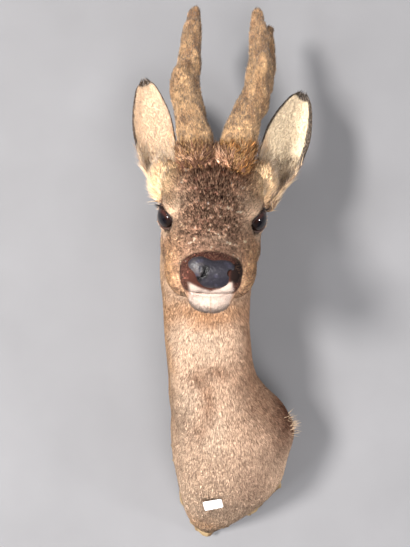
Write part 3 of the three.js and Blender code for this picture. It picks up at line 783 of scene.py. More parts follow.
def growing(points, facial, low, high):
    """How thickly one piece of the coat grows: a stretch back over the head, or up the neck."""
    across, back, up = to_head(*points.T)
    on_face = neck_level(*points.T) - head_level(across, back, up) > 0
    if facial:
        return bare_places(points) * on_face * (back > low) * (back <= high)
    h = points[:, 2] - NOSE_TIP[2]
    in_front = 0.5 + 0.5 * fade(-points[:, 1], 50, 100)
    return bare_places(points) * ~on_face * (h > low) * (h <= high) * in_front


coat_paint = hair_paint("coat_hair", 0.7, 0.0)
FEW_TUFTS = 20000
# whether on the head, from, to, tufts, seed, dark share, pale share
COAT_PIECES = [
    ("coat_muzzle", True, 0, 62, 30000, 11, 0.24, 0.28),
    ("coat_face", True, 62, 112, 38000, 12, 0.30, 0.32),
    ("coat_brow", True, 112, 150, 34000, 13, 0.32, 0.34),
    ("coat_crown", True, 150, 240, 10000, 14, 0.30, 0.20),
    ("coat_nape", False, -45, 120, 34000, 15, 0.30, 0.12),
    ("coat_neck", False, -125, -45, 38000, 16, 0.30, 0.12),
    ("coat_chest", False, -200, -125, 40000, 17, 0.38, 0.12),
    ("coat_shoulders", False, -330, -200, 36000, 18, 0.38, 0.12),
]
for name, facial, low, high, count, seed, dark_share, pale_share in COAT_PIECES:
    dice = np.random.default_rng(seed)
    roots, lean, _ = roots_on(skin_points, skin_faces, lambda p: growing(p, facial, low, high), count, seed)
    across, back, up = to_head(*roots.T)
    h = roots[:, 2] - NOSE_TIP[2]
    depth = hair_depth(roots[:, 1], roots[:, 2], back, up, float(facial))
    if facial:
        length = np.interp(back, (0, 25, 75, 120, 150, 175), (1.6, 2.4, 3.8, 5.0, 9.0, 12.0))
        under = fade(-up, 18, 40) * fade(back, 30, 60)
        chin = fade(-up, 30, 42) * fade(44 - back, 0, 10)
        length = length + 3.5 * under + 4.0 * chin
        width = np.interp(back, (0, 25, 60, 120, 150, 175), (0.32, 0.5, 0.66, 0.8, 0.95, 1.0))
    else:
        length = np.interp(h, (-319, -290, -200, 0, 90), (4.0, 4.6, 4.8, 5.2, 10))
        length = length * (0.5 + 0.5 * fade(-roots[:, 1], 3, 30))
        width = np.full(count, 1.05)
    length = length * dice.uniform(0.75, 1.2, count)
    width = width * dice.uniform(0.75, 1.25, count)
    lift = np.arcsin(np.clip(depth / length * 1.05, 0.15, 0.6)) * dice.uniform(0.8, 1.2, count)
    colours = coat_colour(roots)
    bright = colours.mean(1)
    if facial:
        lift = lift + (0.9 - lift) * 0.8 * chin
        dark_share = dark_share * (1 - 0.85 * fade(bright, 0.46, 0.55))
        clump = np.interp(bright, (0.05, 0.2, 0.5), (5.4, 4.2, 0.4))
        base, tips = flecked(colours, roots, seed + 50, dark_share, pale_share,
                             pale=TAN * 1.05 + colours * 0.7, depth=0.9, clump=clump, grain=2.3)
        guard = (dice.random(count) < 0.045) & (bright < 0.3) & (up > 0) & (back > 32)
        length, width = length * (1 + 0.4 * guard), width * (1 + 0.6 * guard)
        base, tips = toward(base, TAN, 0.4 * guard), toward(tips, tone(208, 168, 138), 0.8 * guard)
        very_pale = (back < 42) & (up < -15) & (bright > 0.45)
        shade = dice.uniform(0.7, 1.05, count)[:, None]
        base[very_pale] = tips[very_pale] = (colours * shade)[very_pale]
    else:
        clump = np.interp(bright, (0.05, 0.2, 0.5), (1.4, 0.8, 0.22))
        base, tips = flecked(colours, roots, seed + 50, dark_share, pale_share,
                             pale=colours * 1.5 + 0.015, depth=0.7, clump=clump, grain=1.5)
    grow_tufts(name, coat_paint, roots, lean,
               lie_of(roots, seed + 100), length, width, lift, base, tips, map_over(roots),
               bent=count < FEW_TUFTS)

# the hair of the ears is short at the rims, longer inside and close behind
EAR_TUFTS = 12000
ear_paint = hair_paint("ear_hair", 0.65, 0.1)
for which, (points, faces, at, place, wall) in ear_nets.items():
    _, _, start, along, across_way, _ = ear_axes(which)
    seed = 31 if which == "right" else 41
    dice = np.random.default_rng(seed)
    count = EAR_TUFTS
    roots, lean, carry = roots_on(points, faces, lambda p: fade((p - start) @ along, 12, 22), count, seed)
    root_at, root_place, root_wall = carry(at), carry(place), carry(wall)
    behind = root_wall > 0
    colours = ear_colour(which, root_at, root_place, behind, roots)
    base, tips = flecked(colours, roots, seed + 1, 0.08, 0.35, tone(170, 132, 100), WHITE, 0.3, 0.25)
    edge = np.abs(root_place)
    length = np.where(behind, 5.0, 3.0 + 8.0 * fade(edge, 0.35, 0.85) * fade(0.85 - root_at, 0, 0.4))
    length = np.where(edge > 0.95, 3.0, length) * dice.uniform(0.7, 1.2, count)
    tip_way = along + across_way * (-root_place * np.where(behind, 0.1, 0.55))[:, None]
    tip_way = tip_way + dice.normal(0, 0.12, roots.shape)
    lift = np.where(behind, 0.22, 0.30) * dice.uniform(0.6, 1.3, count)
    opened = np.stack([0.25 + 0.22 * root_place + 0.5 * behind, 0.04 + 0.92 * root_at], 1)
    grow_tufts("ear_hair_" + which, ear_paint, roots, lean, tip_way, length, np.full(count, 0.55),
               lift, base, tips, opened, bent=False, root_painted_shade=0.8)

# ---- Antlers in velvet ----
# Still growing, so the bone is sheathed in soft velvet skin: blunt lumpy beams and short tines,
# mottled grey-brown, with a close nap of fine hair.
# places: across, out from the wall, over the nose; then the thickness along each stem
ANTLERS = {
    "right": [
        ([(-12, 128, 92), (-14, 146, 118), (-16, 143, 142), (-22, 131, 176), (-23, 121, 205),
          (-20, 110, 240), (-16, 98, 283)],
         [11, 17.5, 18.5, 17, 15.5, 13.5, 12.5, 11, 7.5]),
        ([(-24, 130, 172), (-31, 133, 190), (-31, 134, 204), (-26, 133, 216)], [12, 11.5, 9.5, 6]),
        ([(-20, 112, 226), (-23, 100, 246), (-24, 92, 268)], [9, 8, 5]),
    ],
    "left": [
        ([(22, 128, 92), (27, 146, 118), (31, 143, 142), (43, 131, 174), (51, 121, 205),
          (53, 110, 240), (52, 98, 279)],
         [11, 17.5, 18.5, 17.5, 15.5, 13.5, 12.5, 11, 7.5]),
        ([(48, 128, 172), (50, 136, 190), (52, 140, 205), (53, 142, 220)], [11, 10, 8, 5.5]),
        ([(57, 118, 196), (63, 104, 224), (65, 92, 266)], [10, 9, 5.5]),
    ],
}
NAP_DEPTH, NAP_TUFTS = 1.0, 13000
ANTLER_MARGIN, ANTLER_STEP = 24, 1.25
UPWARD = np.array([0.0, 0.0, 1.0])
FOOT_HIGH = NOSE_TIP[2] + 127
FAR_OFF = 1e3


def stem_through(places, thickness, count=18):
    """Places and thickness along a smooth stem."""
    knots = np.array([(x, -y, NOSE_TIP[2] + z) for x, y, z in places], float)
    knots = np.concatenate([[2 * knots[0] - knots[1]], knots, [2 * knots[-1] - knots[-2]]])
    spans = len(knots) - 3
    t = np.linspace(0, spans, count)
    i = np.minimum(t.astype(int), spans - 1)
    f = (t - i)[:, None]
    a, b, c, d = (knots[i + k] for k in range(4))
    line = 0.5 * (2 * b + (c - a) * f + (2 * a - 5 * b + 4 * c - d) * f ** 2
                  + (3 * b - a - 3 * c + d) * f ** 3)
    return line, np.interp(t / spans, np.linspace(0, 1, len(thickness)), thickness)


def rod_level(points, start, end, start_thick, end_thick):
    """Below nothing inside a round rod from one place to another, tapering between two radii."""
    span = end - start
    t = np.clip((points - start) @ span / (span @ span), 0, 1)
    reach = np.linalg.norm(points - start - t[:, None] * span, axis=1)
    return reach - (start_thick + (end_thick - start_thick) * t)


def antler_level(points, stems):
    level = np.full(len(points), FAR_OFF, np.float32)
    for line, thick in stems:
        near = np.full(len(points), FAR_OFF, np.float32)
        for k in range(len(line) - 1):
            near = np.minimum(near, rod_level(points, line[k], line[k + 1], thick[k], thick[k + 1]))
        level = soft_min(level, near, 7)
    return level


def net_within(level_at, xs, ys, zs):
    """A closed net over the places in a block where the level is nothing."""
    lattice = np.stack(np.meshgrid(xs, ys, zs, indexing="ij"), -1).reshape(-1, 3)
    return net_over(level_at(*lattice.T).reshape(len(xs), len(ys), len(zs)), xs, ys, zs)


antler_nets = {}
velvet_paint = hair_paint("velvet", 0.75, 0.12)
for which, shapes in ANTLERS.items():
    stems = [stem_through(places, thickness) for places, thickness in shapes]
    every = np.concatenate([line for line, _ in stems])
    low, high = every.min(0) - ANTLER_MARGIN, every.max(0) + ANTLER_MARGIN
    block = [np.arange(low[k], high[k], ANTLER_STEP).astype(np.float32) for k in range(3)]
    seed = 51 if which == "right" else 61

    def lumps(points):
        stretched = points * np.array([1, 1, 0.35])
        return (1.3 * value_noise(stretched, 6.5, seed) + 1.1 * value_noise(points, 12, seed + 1)
                + 0.35 * value_noise(points, 2.6, seed + 2))

    def velvet_level(x, y, z):
        points = np.stack([x, y, z], 1)
        return antler_level(points, stems) + NAP_DEPTH + lumps(points)

    points, faces = net_within(velvet_level, *block)
    points = evened(points, faces)
    antler_nets[which] = (points, faces, stems[0][0][0])

    def velvet_colour(places):
        rise = (places[:, 2] - low[2]) / (high[2] - low[2])
        patch = value_noise(places * np.array([1, 1, 0.45]), 7, seed + 3)
        spots = value_noise(places, 3.2, seed + 4)
        return layered(
            tone(146, 116, 84), (tone(106, 78, 54), 0.8 * fade(patch, -0.3, 0.6)),
            (tone(158, 126, 92), 0.6 * fade(0.45 - rise, 0, 0.3)),
            (tone(104, 74, 52), 0.55 * fade(rise, 0.6, 1.0)),
            (UMBER, 0.9 * fade(FOOT_HIGH - 8 - places[:, 2], 0, 8)),
            (tone(92, 62, 42), 0.6 * fade(spots, 0.48, 0.75)),
            # darker in the hollows between the lumps: painted shade
            (tone(120, 88, 62), 0.5 * fade(lumps(places), 0.4, 1.2)))

    make_piece("antler_" + which, points, faces, velvet_paint,
               ["antler_%s_%s" % (which, part) for part in ("beam", "front_tine", "rear_tine")],
               velvet_colour(points) * VELVET_PAINTED_SHADE)
    count = NAP_TUFTS
    dice = np.random.default_rng(seed + 5)
    roots, lean, _ = roots_on(points, faces, lambda p: p[:, 2] > FOOT_HIGH - 13, count, seed + 6)
    base, tips = flecked(velvet_colour(roots), roots, seed + 7, 0.2, 0.25, tone(76, 52, 34),
                         tone(186, 152, 114), 0.75, 1.8, 2.2)
    way = UPWARD + dice.normal(0, 0.35, roots.shape)
    grow_tufts("velvet_nap_" + which, velvet_paint, roots, lean, way,
               dice.uniform(2.2, 4.8, count), np.full(count, 0.7), dice.uniform(0.3, 1.0, count), base, tips,
               map_over(roots, every[:, 0].mean(), every[:, 1].mean()), bent=False)

# ---- Glass eyes ----
# Taxidermist's glass eyes, nearly black with a brown edge. About a third of each ball shows,
# inside a rim of dark bare lid that is thicker above.


def ball_net(radius, turn_to, rings=28, sides=40):
    """A ball with its pole turned to one way."""
    angle = np.linspace(0, math.pi, rings + 1)[1:-1]
    sweep = np.linspace(0, 2 * math.pi, sides, endpoint=False)
    a, s = np.meshgrid(angle, sweep, indexing="ij")
    x_way = unit(np.cross(turn_to, (0, 0, 1.0)))
    y_way = np.cross(turn_to, x_way)
    around = np.cos(s)[..., None] * x_way + np.sin(s)[..., None] * y_way
    points = (np.cos(a)[..., None] * turn_to + np.sin(a)[..., None] * around).reshape(-1, 3)
    points = np.concatenate([points, [turn_to, -np.asarray(turn_to)]]) * radius
    quads = ring_faces(rings - 1, sides)
    k = np.arange(sides)
    onward = (k + 1) % sides
    last = (rings - 2) * sides
    near_cap = np.stack([np.full(sides, len(points) - 2), k, onward], 1)
    far_cap = np.stack([np.full(sides, len(points) - 1), last + onward, last + k], 1)
    return points, np.concatenate([quads[:, [0, 3, 1]], quads[:, [1, 3, 2]], near_cap, far_cap])


def outward(points, faces):
    """Turns a closed net's faces outwards."""
    a, b, c = (points[faces[:, k]] for k in range(3))
    return faces if (np.cross(a, b) * c).sum() > 0 else faces[:, ::-1]


def eye_axes(side):
    """The eyeball's centre, and the ways out of it, along the opening and up it."""
    return [way * np.array([side, 1, 1]) for way in (EYE_CENTRE, EYE_OUT, EYE_LONG, EYE_HIGH)]


glass, glass_tree, glass_shader = new_paint("eye_glass", Roughness=0.04, Specular_IOR_Level=0.3)
glass_marks = add_node(glass_tree, "ShaderNodeAttribute", attribute_name="coat")
glass_tree.links.new(glass_marks.outputs["Color"], glass_shader.inputs["Base Color"])
lid_paint = hair_paint("eyelid", 0.42, 0.0, 0.3)
SIDES = (("right", -1), ("left", 1))
LID_STEPS, LID_AROUND = 72, 10
for which, side in SIDES:
    centre, out_way, long_way, high_way = eye_axes(side)
    ball, faces = ball_net(EYE_RADIUS, out_way)
    long, high = ball @ long_way, ball @ high_way
    ring = np.sqrt(long ** 2 + high ** 2)
    pupil = np.sqrt((long / 6.5) ** 2 + (high / 4.4) ** 2)
    colours = layered(
        tone(24, 14, 10), (tone(52, 26, 22), 0.8 * fade(high, 2, 8)),
        (tone(10, 8, 12), fade(1.25 - pupil, 0, 0.25)), (tone(16, 10, 9), 0.6 * fade(ring, 8.0, 9.4)),
        (tone(54, 38, 34), 0.7 * fade(ring, 11.2, 12.6)))
    make_piece("glass_eye_" + which, on_head(ball + centre), outward(ball, faces), glass,
               ["eye_" + which], colours)
    sweep = np.linspace(0, 2 * math.pi, LID_STEPS + 1)[:-1]
    rim_long = EYE_OPENING[0] * np.cos(sweep)
    rim_high = EYE_OPENING[1] * np.sin(sweep) * (1 - 0.22 * np.clip(-np.cos(sweep), 0, 1))
    rim_out = np.sqrt(np.maximum((EYE_RADIUS + 0.5) ** 2 - rim_long ** 2 - rim_high ** 2, 1))
    rim = centre + rim_long[:, None] * long_way + rim_high[:, None] * high_way + rim_out[:, None] * out_way
    upper = np.clip(np.sin(sweep), 0, 1)
    thick = 1.1 + 1.2 * upper + 0.6 * np.clip(-np.cos(sweep), 0, 1)
    ahead = unit(np.roll(rim, -1, 0) - np.roll(rim, 1, 0))
    away = unit(rim - centre)
    over = np.cross(ahead, away)
    turn = np.linspace(0, 2 * math.pi, LID_AROUND, endpoint=False)
    round_rim = np.cos(turn)[None, :, None] * away[:, None] + np.sin(turn)[None, :, None] * over[:, None]
    placed = on_head((rim[:, None] + round_rim * thick[:, None, None]).reshape(-1, 3))
    quads = ring_faces(LID_STEPS, LID_AROUND, closed=True)
    lid_faces = np.concatenate([quads[:, [0, 1, 2]], quads[:, [0, 2, 3]]])
    upper_rim = np.repeat(upper, LID_AROUND)
    inner_side = np.tile(np.clip(-np.cos(turn), 0, 1), LID_STEPS) * upper_rim
    lid_colours = layered(tone(60, 42, 36), (tone(30, 18, 16), upper_rim ** 0.5),
                          (tone(96, 42, 42), 0.6 * inner_side))
    make_piece("eyelid_" + which, placed, outward(placed - placed.mean(0), lid_faces), lid_paint,
               (), lid_colours)

# ---- Nose ----
# A bare pad of dark, damp, pebbled skin between the nostrils, creased down the middle. The wing on
# the animal's right, on the lamp's side, is painted grey, partly as rubbed wear and partly as a painted
# sheen, and the nostrils are painted near black inside as painted shade.
PAD_HALF, PAD_REACH, PAD_RISE, PAD_STEP = 20.6, 12.5, 12.25, 0.55
PAD_ACROSS, PAD_SET_BACK, PAD_DROP = 2.6, 12.5, 5.5
# three places along each nostril, from its top to its outer foot, and its width
NOSTRILS = [((-4.5, 2.5, 3.0), (-5.5, 1.5, -2.0), (-9.5, 3.5, -6.5), 0.9),
            ((16.0, 2.5, -0.5), (18.5, 4.5, -4.0), (21.5, 9.0, -7.0), 3.0)]


def pad_level(x, y, z):
    across, back, up = to_head(x, y, z)
    high = (up + PAD_DROP) / PAD_RISE
    wide = PAD_HALF * (1 - 0.17 * (1 - high) * (high < 1))
    near = (np.abs((across - PAD_ACROSS) / wide) ** 3.0
            + np.abs((back - PAD_SET_BACK) / PAD_REACH) ** 2.4 + np.abs(high) ** 2.6) ** (1 / 2.5)
    wing = blob_level(across, back, up, (-10.5, 10.6, -0.5), (9.2, 6.6, 9.4))
    level = soft_min((near - 1) * 10, wing, 5)
    points = np.stack([across, back, up], 1)
    for *bends, thick in NOSTRILS:
        for start, end in zip(bends, bends[1:]):
            slit = rod_level(points, np.array(start), np.array(end), thick, thick)
            level = soft_max(level, -slit, 0.8)
    crease = np.maximum(np.abs(across - 3.0) - 0.2, up + 8)
    level = soft_max(level, -np.maximum(crease, -1.1 - level), 0.7)
    return (level + 0.12 * value_noise(points, 1.7, 71)).astype(np.float32)


pad_block = [np.arange(low, high, PAD_STEP).astype(np.float32)
             for low, high in ((-24, 25), (-267, -236), (226, 266))]
pad_points, pad_faces = net_within(pad_level, *pad_block)
across, back, up = to_head(*pad_points.T)
# The wing on the lamp's side is painted grey: partly rubbed wear, partly a painted sheen.
worn_and_sheen = np.exp(-((across + 12) / 7) ** 2 - (up / 8) ** 2) * fade(value_noise(pad_points, 3, 72), -0.6, 0.3)
# The nostrils are painted near black inside: painted shade in their hollows.
in_nostril = np.min([np.linalg.norm(np.stack([across, back, up], 1) - np.array(bend), axis=1) - 3.0
                     for *bends, _ in NOSTRILS for bend in bends], axis=0)
pad_colours = layered(
    tone(25, 23, 30), (tone(64, 58, 57), 0.8 * worn_and_sheen),
    (tone(44, 42, 54), 0.6 * fade(value_noise(pad_points, 4, 73), 0.1, 0.6)),
    (tone(10, 8, 10), fade(0.8 - in_nostril, 0, 1.2)))
leather = hair_paint("nose_leather", 0.48, 0.0, 0.35)
pebble = add_node(leather.node_tree, "ShaderNodeTexVoronoi",
                  {"Vector": in_object(leather.node_tree), "Scale": 620})
add_bump(leather.node_tree, pebble.outputs["Distance"], 0.5, 0.0005)
make_piece("nose_pad", pad_points, pad_faces, leather, ["nose"], pad_colours)

# ---- Crown hair and ear fluff ----
# Long bushy hair stands up round the foot of each antler and hides where the velvet starts, and
# soft pale hair closes the foot of each ear.
COLLAR_TUFTS, FOOT_TUFTS, FLUFF_TUFTS = 2700, 1700, 4200
collar = []
for points, faces, centre in antler_nets.values():

    def at_the_foot(places, centre=centre):
        _, _, up = to_head(*places.T)
        reach = np.hypot(places[:, 0] - centre[0], places[:, 1] - centre[1])
        right = fade(places[:, 0], 12, 26)
        return bare_places(places) * fade(36 - reach, 0, 14) * fade(up, 61 - 24 * right, 72 - 20 * right)

    roots, lean, _ = roots_on(skin_points, skin_faces, at_the_foot, COLLAR_TUFTS, 81)
    around = unit((roots - centre) * np.array([1, 1, 0]))
    collar.append((roots, lean, UPWARD + around * 0.25 + lean * 0.25))
    roots, lean, _ = roots_on(points, faces, lambda p: (p[:, 2] < FOOT_HIGH) * (p[:, 2] > FOOT_HIGH - 36),
                              FOOT_TUFTS, 82)
    collar.append((roots, lean, UPWARD + lean * 0.45))
roots, lean, ways = (np.concatenate(part) for part in zip(*collar))
dice = np.random.default_rng(83)
count = len(roots)
ways = unit(ways) + dice.normal(0, 0.2, roots.shape) + 0.75 * swirl(roots, 6, 84)
patch = value_noise(roots, 9, 87)
_, _, rise = to_head(*roots.T)
colours = layered(
    tone(116, 86, 58), (GOLD, 0.6 * fade(patch, 0.1, 0.5)),
    (UMBER, 0.92 * fade(74 - rise, 0, 14) * fade(16 - roots[:, 0], 0, 12)),
    (RUST, 0.35 * fade(roots[:, 0], 10, 30)), (tone(88, 64, 44), 0.5 * fade(-patch, 0.1, 0.5)))
base, tips = flecked(colours, roots, 88, 0.36, 0.24, tone(84, 60, 40), tone(200, 158, 104), 0.8, 1.5, 2.4)
grow_tufts("crown_hair", coat_paint, roots, lean, ways, dice.uniform(5, 12, count),
           dice.uniform(0.5, 1.0, count), dice.uniform(0.3, 1.1, count), base, tips,
           map_over(roots, 8, -145), root_painted_shade=0.4)

for which in EARS:
    points, faces = ear_nets[which][:2]
    _, _, start, along, _, hollow = ear_axes(which)

    def near_the_ear(places):
        rise = (places - start) @ along
        reach = np.linalg.norm(places - start - rise[:, None] * along, axis=1)
        return bare_places(places) * fade(34 - reach, 0, 14) * (rise > -7) * (rise < 44)

    roots, lean, _ = roots_on(skin_points, skin_faces, near_the_ear, FLUFF_TUFTS, 91)
    inner, inner_lean, _ = roots_on(points, faces, lambda p: fade(66 - (p - start) @ along, 0, 30),
                                    FLUFF_TUFTS, 92)
    roots, lean = np.concatenate([roots, inner]), np.concatenate([lean, inner_lean])
    dice = np.random.default_rng(93)
    count = len(roots)
    facing = (lean @ hollow) > -0.2
    ways = along + 0.25 * lean - 0.2 * np.array([0, 1, 0]) + dice.normal(0, 0.14, roots.shape)
    ways = ways + 0.22 * swirl(roots, 8, 94)
    rise = (roots - start) @ along
    colours = layered(EAR_TAN, (tone(220, 192, 158), fade(rise, 10, 40)), (BROWN, 0.8 * ~facing))
    base, tips = flecked(colours, roots, 97, 0.08, 0.3, tone(150, 112, 80), WHITE, 0.4, 0.3)
    grow_tufts("ear_fluff_" + which, ear_paint, roots, lean, ways, dice.uniform(9, 18, count),
               dice.uniform(0.6, 1.1, count), dice.uniform(0.15, 0.6, count), base, tips,
               map_over(roots, start[0], start[1]), bent=False, root_painted_shade=0.75)

# ---- Lashes, whiskers and stray hairs ----
# Stiff single hairs: a row of dark lashes on each upper lid, long fine whiskers on the lips and
# chin, and a few pale strays that stick out from the point of the shoulder.


def bristles(name, roots, ways, sizes, length, thick, paint, seed, sides=5, blunt=0.0):
    """A tapering spike on each root, standing the way given for it: hairs, or tacks if blunt."""
    carrier_mesh = bpy.data.meshes.new(name + "_roots")
    carrier_mesh.vertices.add(len(roots))
    carrier_mesh.vertices.foreach_set("co", (roots * MM).astype(np.float32).ravel())
    for layer_name, kind, field, values in (("way", "FLOAT_VECTOR", "vector", unit(ways)),
                                            ("size", "FLOAT", "value", sizes)):
        layer = carrier_mesh.attributes.new(layer_name, kind, "POINT")
        layer.data.foreach_set(field, np.asarray(values, np.float32).ravel())
    tree = bpy.data.node_groups.new(name + "_growth", "GeometryNodeTree")
    for socket, way_in, kind in (("Geometry", "INPUT", "Geometry"), ("Hair Length", "INPUT", "Float"),
                                 ("Hair Thickness", "INPUT", "Float"), ("Geometry", "OUTPUT", "Geometry")):
        tree.interface.new_socket(socket, in_out=way_in, socket_type="NodeSocket" + kind)
    given = tree.nodes.new("NodeGroupInput").outputs
    spike = add_node(tree, "GeometryNodeMeshCone", {
        "Vertices": sides, "Radius Top": blunt * MM, "Depth": given["Hair Length"],
        "Radius Bottom": given["Hair Thickness"]})
    spots = add_node(tree, "GeometryNodeMeshToPoints", {"Mesh": given["Geometry"]})
    way = add_node(tree, "GeometryNodeInputNamedAttribute", {"Name": "way"}, data_type="FLOAT_VECTOR")
    stand = add_node(tree, "FunctionNodeAlignRotationToVector", {"Vector": way.outputs["Attribute"]},
                     axis="Z")
    size = add_node(tree, "GeometryNodeInputNamedAttribute", {"Name": "size"}, data_type="FLOAT")
    vary = add_node(tree, "FunctionNodeRandomValue", {2: 0.7, 3: 1.15, "Seed": seed}, data_type="FLOAT")
    varied = next(o for o in vary.outputs if o.type == "VALUE" and o.enabled)
    times = add_node(tree, "ShaderNodeMath", {0: size.outputs["Attribute"], 1: varied}, operation="MULTIPLY")
    put = add_node(tree, "GeometryNodeInstanceOnPoints", {
        "Points": spots.outputs["Points"], "Instance": spike.outputs["Mesh"],
        "Rotation": stand.outputs["Rotation"], "Scale": times.outputs["Value"]})
    real = add_node(tree, "GeometryNodeRealizeInstances", {"Geometry": put.outputs["Instances"]})
    dress = add_node(tree, "GeometryNodeSetMaterial",
                     {"Geometry": real.outputs["Geometry"], "Material": paint})
    add_node(tree, "NodeGroupOutput", {"Geometry": dress.outputs["Geometry"]})
    carrier = bpy.data.objects.new(name + "_roots", carrier_mesh)
    bpy.context.scene.collection.objects.link(carrier)
    growth = carrier.modifiers.new("growth", "NODES")
    growth.node_group = tree
    for socket, value in (("Hair Length", length), ("Hair Thickness", thick)):
        growth[tree.interface.items_tree[socket].identifier] = value * MM
    grown = bpy.data.meshes.new_from_object(carrier.evaluated_get(bpy.context.evaluated_depsgraph_get()))
    bpy.data.objects.remove(carrier)
    grown.name = name
    put_in_place(name, grown)


def blend_paint(name, noise, dark, light, stretch=(1, 1, 1), **sockets):
    """Paint that drifts between two colours by a noise in the object's own space."""
    paint, tree, shader = new_paint(name, **sockets)
    place = add_node(tree, "ShaderNodeMapping", {"Vector": in_object(tree), "Scale": stretch})
    drift = add_node(tree, "ShaderNodeTexNoise", {"Vector": place.outputs["Vector"], **noise})
    ramp = add_node(tree, "ShaderNodeMix", data_type="RGBA")
    for socket, colour in (("A", dark), ("B", light)):
        ramp.inputs[socket].default_value = (*colour, 1)
    tree.links.new(drift.outputs["Fac"], ramp.inputs["Factor"])
    tree.links.new(ramp.outputs["Result"], shader.inputs["Base Color"])
    return paint, tree, drift


def bristle_paint(name, shade, rough):
    return blend_paint(name, {"Scale": 260}, shade * 0.6, shade * 1.6, Roughness=rough)[0]


lash_paint = bristle_paint("lash_hair", tone(30, 22, 20), 0.45)
whisker_paint = bristle_paint("whisker_hair", tone(70, 56, 48), 0.5)
LASHES = 54
dice = np.random.default_rng(101)
for which, side in SIDES:
    centre, out_way, long_way, high_way = eye_axes(side)
    sweep = np.linspace(0.15, 2.35, LASHES)
    long, high = EYE_OPENING[0] * np.cos(sweep), EYE_OPENING[1] * np.sin(sweep)
    out = np.sqrt(np.maximum((EYE_RADIUS + 1.6) ** 2 - long ** 2 - high ** 2, 1))
    roots = centre + long[:, None] * long_way + high[:, None] * high_way + out[:, None] * out_way
    ways = (out_way * 0.9 + high_way * 0.30)[None] + 0.35 * np.cos(sweep)[:, None] * long_way
    ways = ways + dice.normal(0, 0.10, (LASHES, 3))
    bristles("lashes_" + which, on_head(roots), ways @ HEAD_TURN.T, 0.65 + 0.5 * np.sin(sweep), 7.0, 0.2,
             lash_paint, 103)


def whisker_bed(places):
    across, back, up = to_head(*places.T)
    side = np.abs(across)
    lips = (side > 12) * (back > 8) * (back < 50) * (up < -6) * (up > -38)
    chin = (side < 20) * (back > 12) * (back < 40) * (up < -38)
    return (lips + chin) * 1.0


WHISKERS, STRAYS = 90, 44
roots, lean, _ = roots_on(skin_points, skin_faces, whisker_bed, WHISKERS, 105)
ways = lean + np.array([0, 0.15, -0.25]) + dice.normal(0, 0.2, roots.shape)
bristles("whiskers", roots, ways, np.ones(len(roots)), 15, 0.11, whisker_paint, 106)

SHOULDER_POINT, SHOULDER_REACH = np.array([95, -56, 76]), np.array([12, 22, 9])
roots, lean, _ = roots_on(skin_points, skin_faces,
                          lambda p: np.exp(-(((p - SHOULDER_POINT) / SHOULDER_REACH) ** 2).sum(1)),
                          STRAYS, 107)
ways = unit(lean) + np.array([0.5, -0.1, 0.15]) + dice.normal(0, 0.3, roots.shape)
pale_paint = bristle_paint("pale_hair", tone(196, 168, 138), 0.6)
bristles("shoulder_tuft", roots, ways, np.ones(len(roots)), 10.5, 0.36, pale_paint, 108)

# ---- Dried hide edge ----
# The hide is trimmed by hand round the board, and its thin edge has dried hard, curled and yellow.
# It shows as a narrow wavy rim below the hair, with a small tail at the bottom.
EDGE_MIDDLE = np.array([12.0, 70.0])
EDGE_OFF_WALL = 12.0
EDGE_STEPS = 420


def reach_of(level_at, middle, rays, near, far, off_wall):
    """How far along each ray from the middle an outline lies, at one distance off the wall."""
    near, far = np.full(len(rays), near), np.full(len(rays), far)
    for _ in range(24):
        half_way = (near + far) / 2
        spots = middle + rays * half_way[:, None]
        outside = level_at(spots[:, 0], np.full(len(rays), -off_wall), spots[:, 1]) > 0
        near, far = np.where(outside, near, half_way), np.where(outside, half_way, far)
    return (near + far) / 2


angles = np.linspace(math.radians(-212), math.radians(34), EDGE_STEPS)
rays = np.stack([np.cos(angles), np.sin(angles)], 1)
reach = reach_of(lambda x, y, z: skin_level(x, y, z, False), EDGE_MIDDLE, rays, 20.0, 190.0, 15.0)
wobble = np.column_stack([rays * 60, np.zeros(EDGE_STEPS)])
ragged = (1.6 * value_noise(wobble, 5, 111) + 0.7 * value_noise(wobble, 2.0, 112)
          + 0.4 * value_noise(wobble, 0.9, 113))
tail = 3.5 * np.exp(-((angles + 1.66) / 0.045) ** 2)
hidden = np.interp(np.degrees(angles), (-150, -120, -92, -72, -52, -30, -5), (0, 2, 0, 7, 9, 3, 0))
lap = (3.2 + 2.4 * ragged) * fade(-np.sin(angles), -0.1, 0.6) + hidden + tail
curl = 1.1 * value_noise(wobble, 3, 114)
# round the rim: how far out, how far off the wall, how much it curls
profile = [(-3.5, -1.6, 0), (lap * 0.4, -1.2, 0.3), (lap, -0.5, 1.0), (lap, 0.3, 1.0), (lap * 0.4, 0.1, 0.3),
           (-3.5, -0.3, 0)]
rows = []
for out, off, bend in profile:
    spot = EDGE_MIDDLE + rays * (reach + out)[:, None]
    rows.append(np.stack([spot[:, 0], -EDGE_OFF_WALL + off + curl * bend, spot[:, 1]], 1))
edge_points = np.stack(rows, 1).reshape(-1, 3)
end = (EDGE_STEPS - 1) * len(profile)
edge_faces = np.concatenate([ring_faces(EDGE_STEPS, len(profile)), [
    (3, 2, 1, 0), (5, 4, 3, 0), (end, end + 1, end + 2, end + 3), (end, end + 3, end + 4, end + 5)]])
edge_dry = fade(value_noise(edge_points, 4, 115), 0.0, 0.6)
edge_colours = toward(tone(124, 106, 80), tone(84, 66, 48), edge_dry)
make_piece("hide_edge", edge_points, outward(edge_points, edge_faces), hide_paint, (),
           edge_colours)

# ---- Back board and hanger ----
# A softwood board let flush into the back of the form, with a stamped steel hanging plate on it and
# a ring of tacks round it that hold the turned-in hide.


def streaked_paint(name, dark, light, scales, rough, metal, lift):
    """A finish with streaks along one way of the object: the grain of wood or of rolled steel."""
    paint, tree, streak = blend_paint(name, {"Scale": 1.0, "Detail": 7}, dark, light, scales,
                                      Roughness=rough, Metallic=metal)
    add_bump(tree, streak.outputs["Fac"], 0.4, lift)
    return paint


def put_on(node, paint):
    cad_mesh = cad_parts[node].data
    cad_mesh.materials.clear()
    cad_mesh.materials.append(paint)


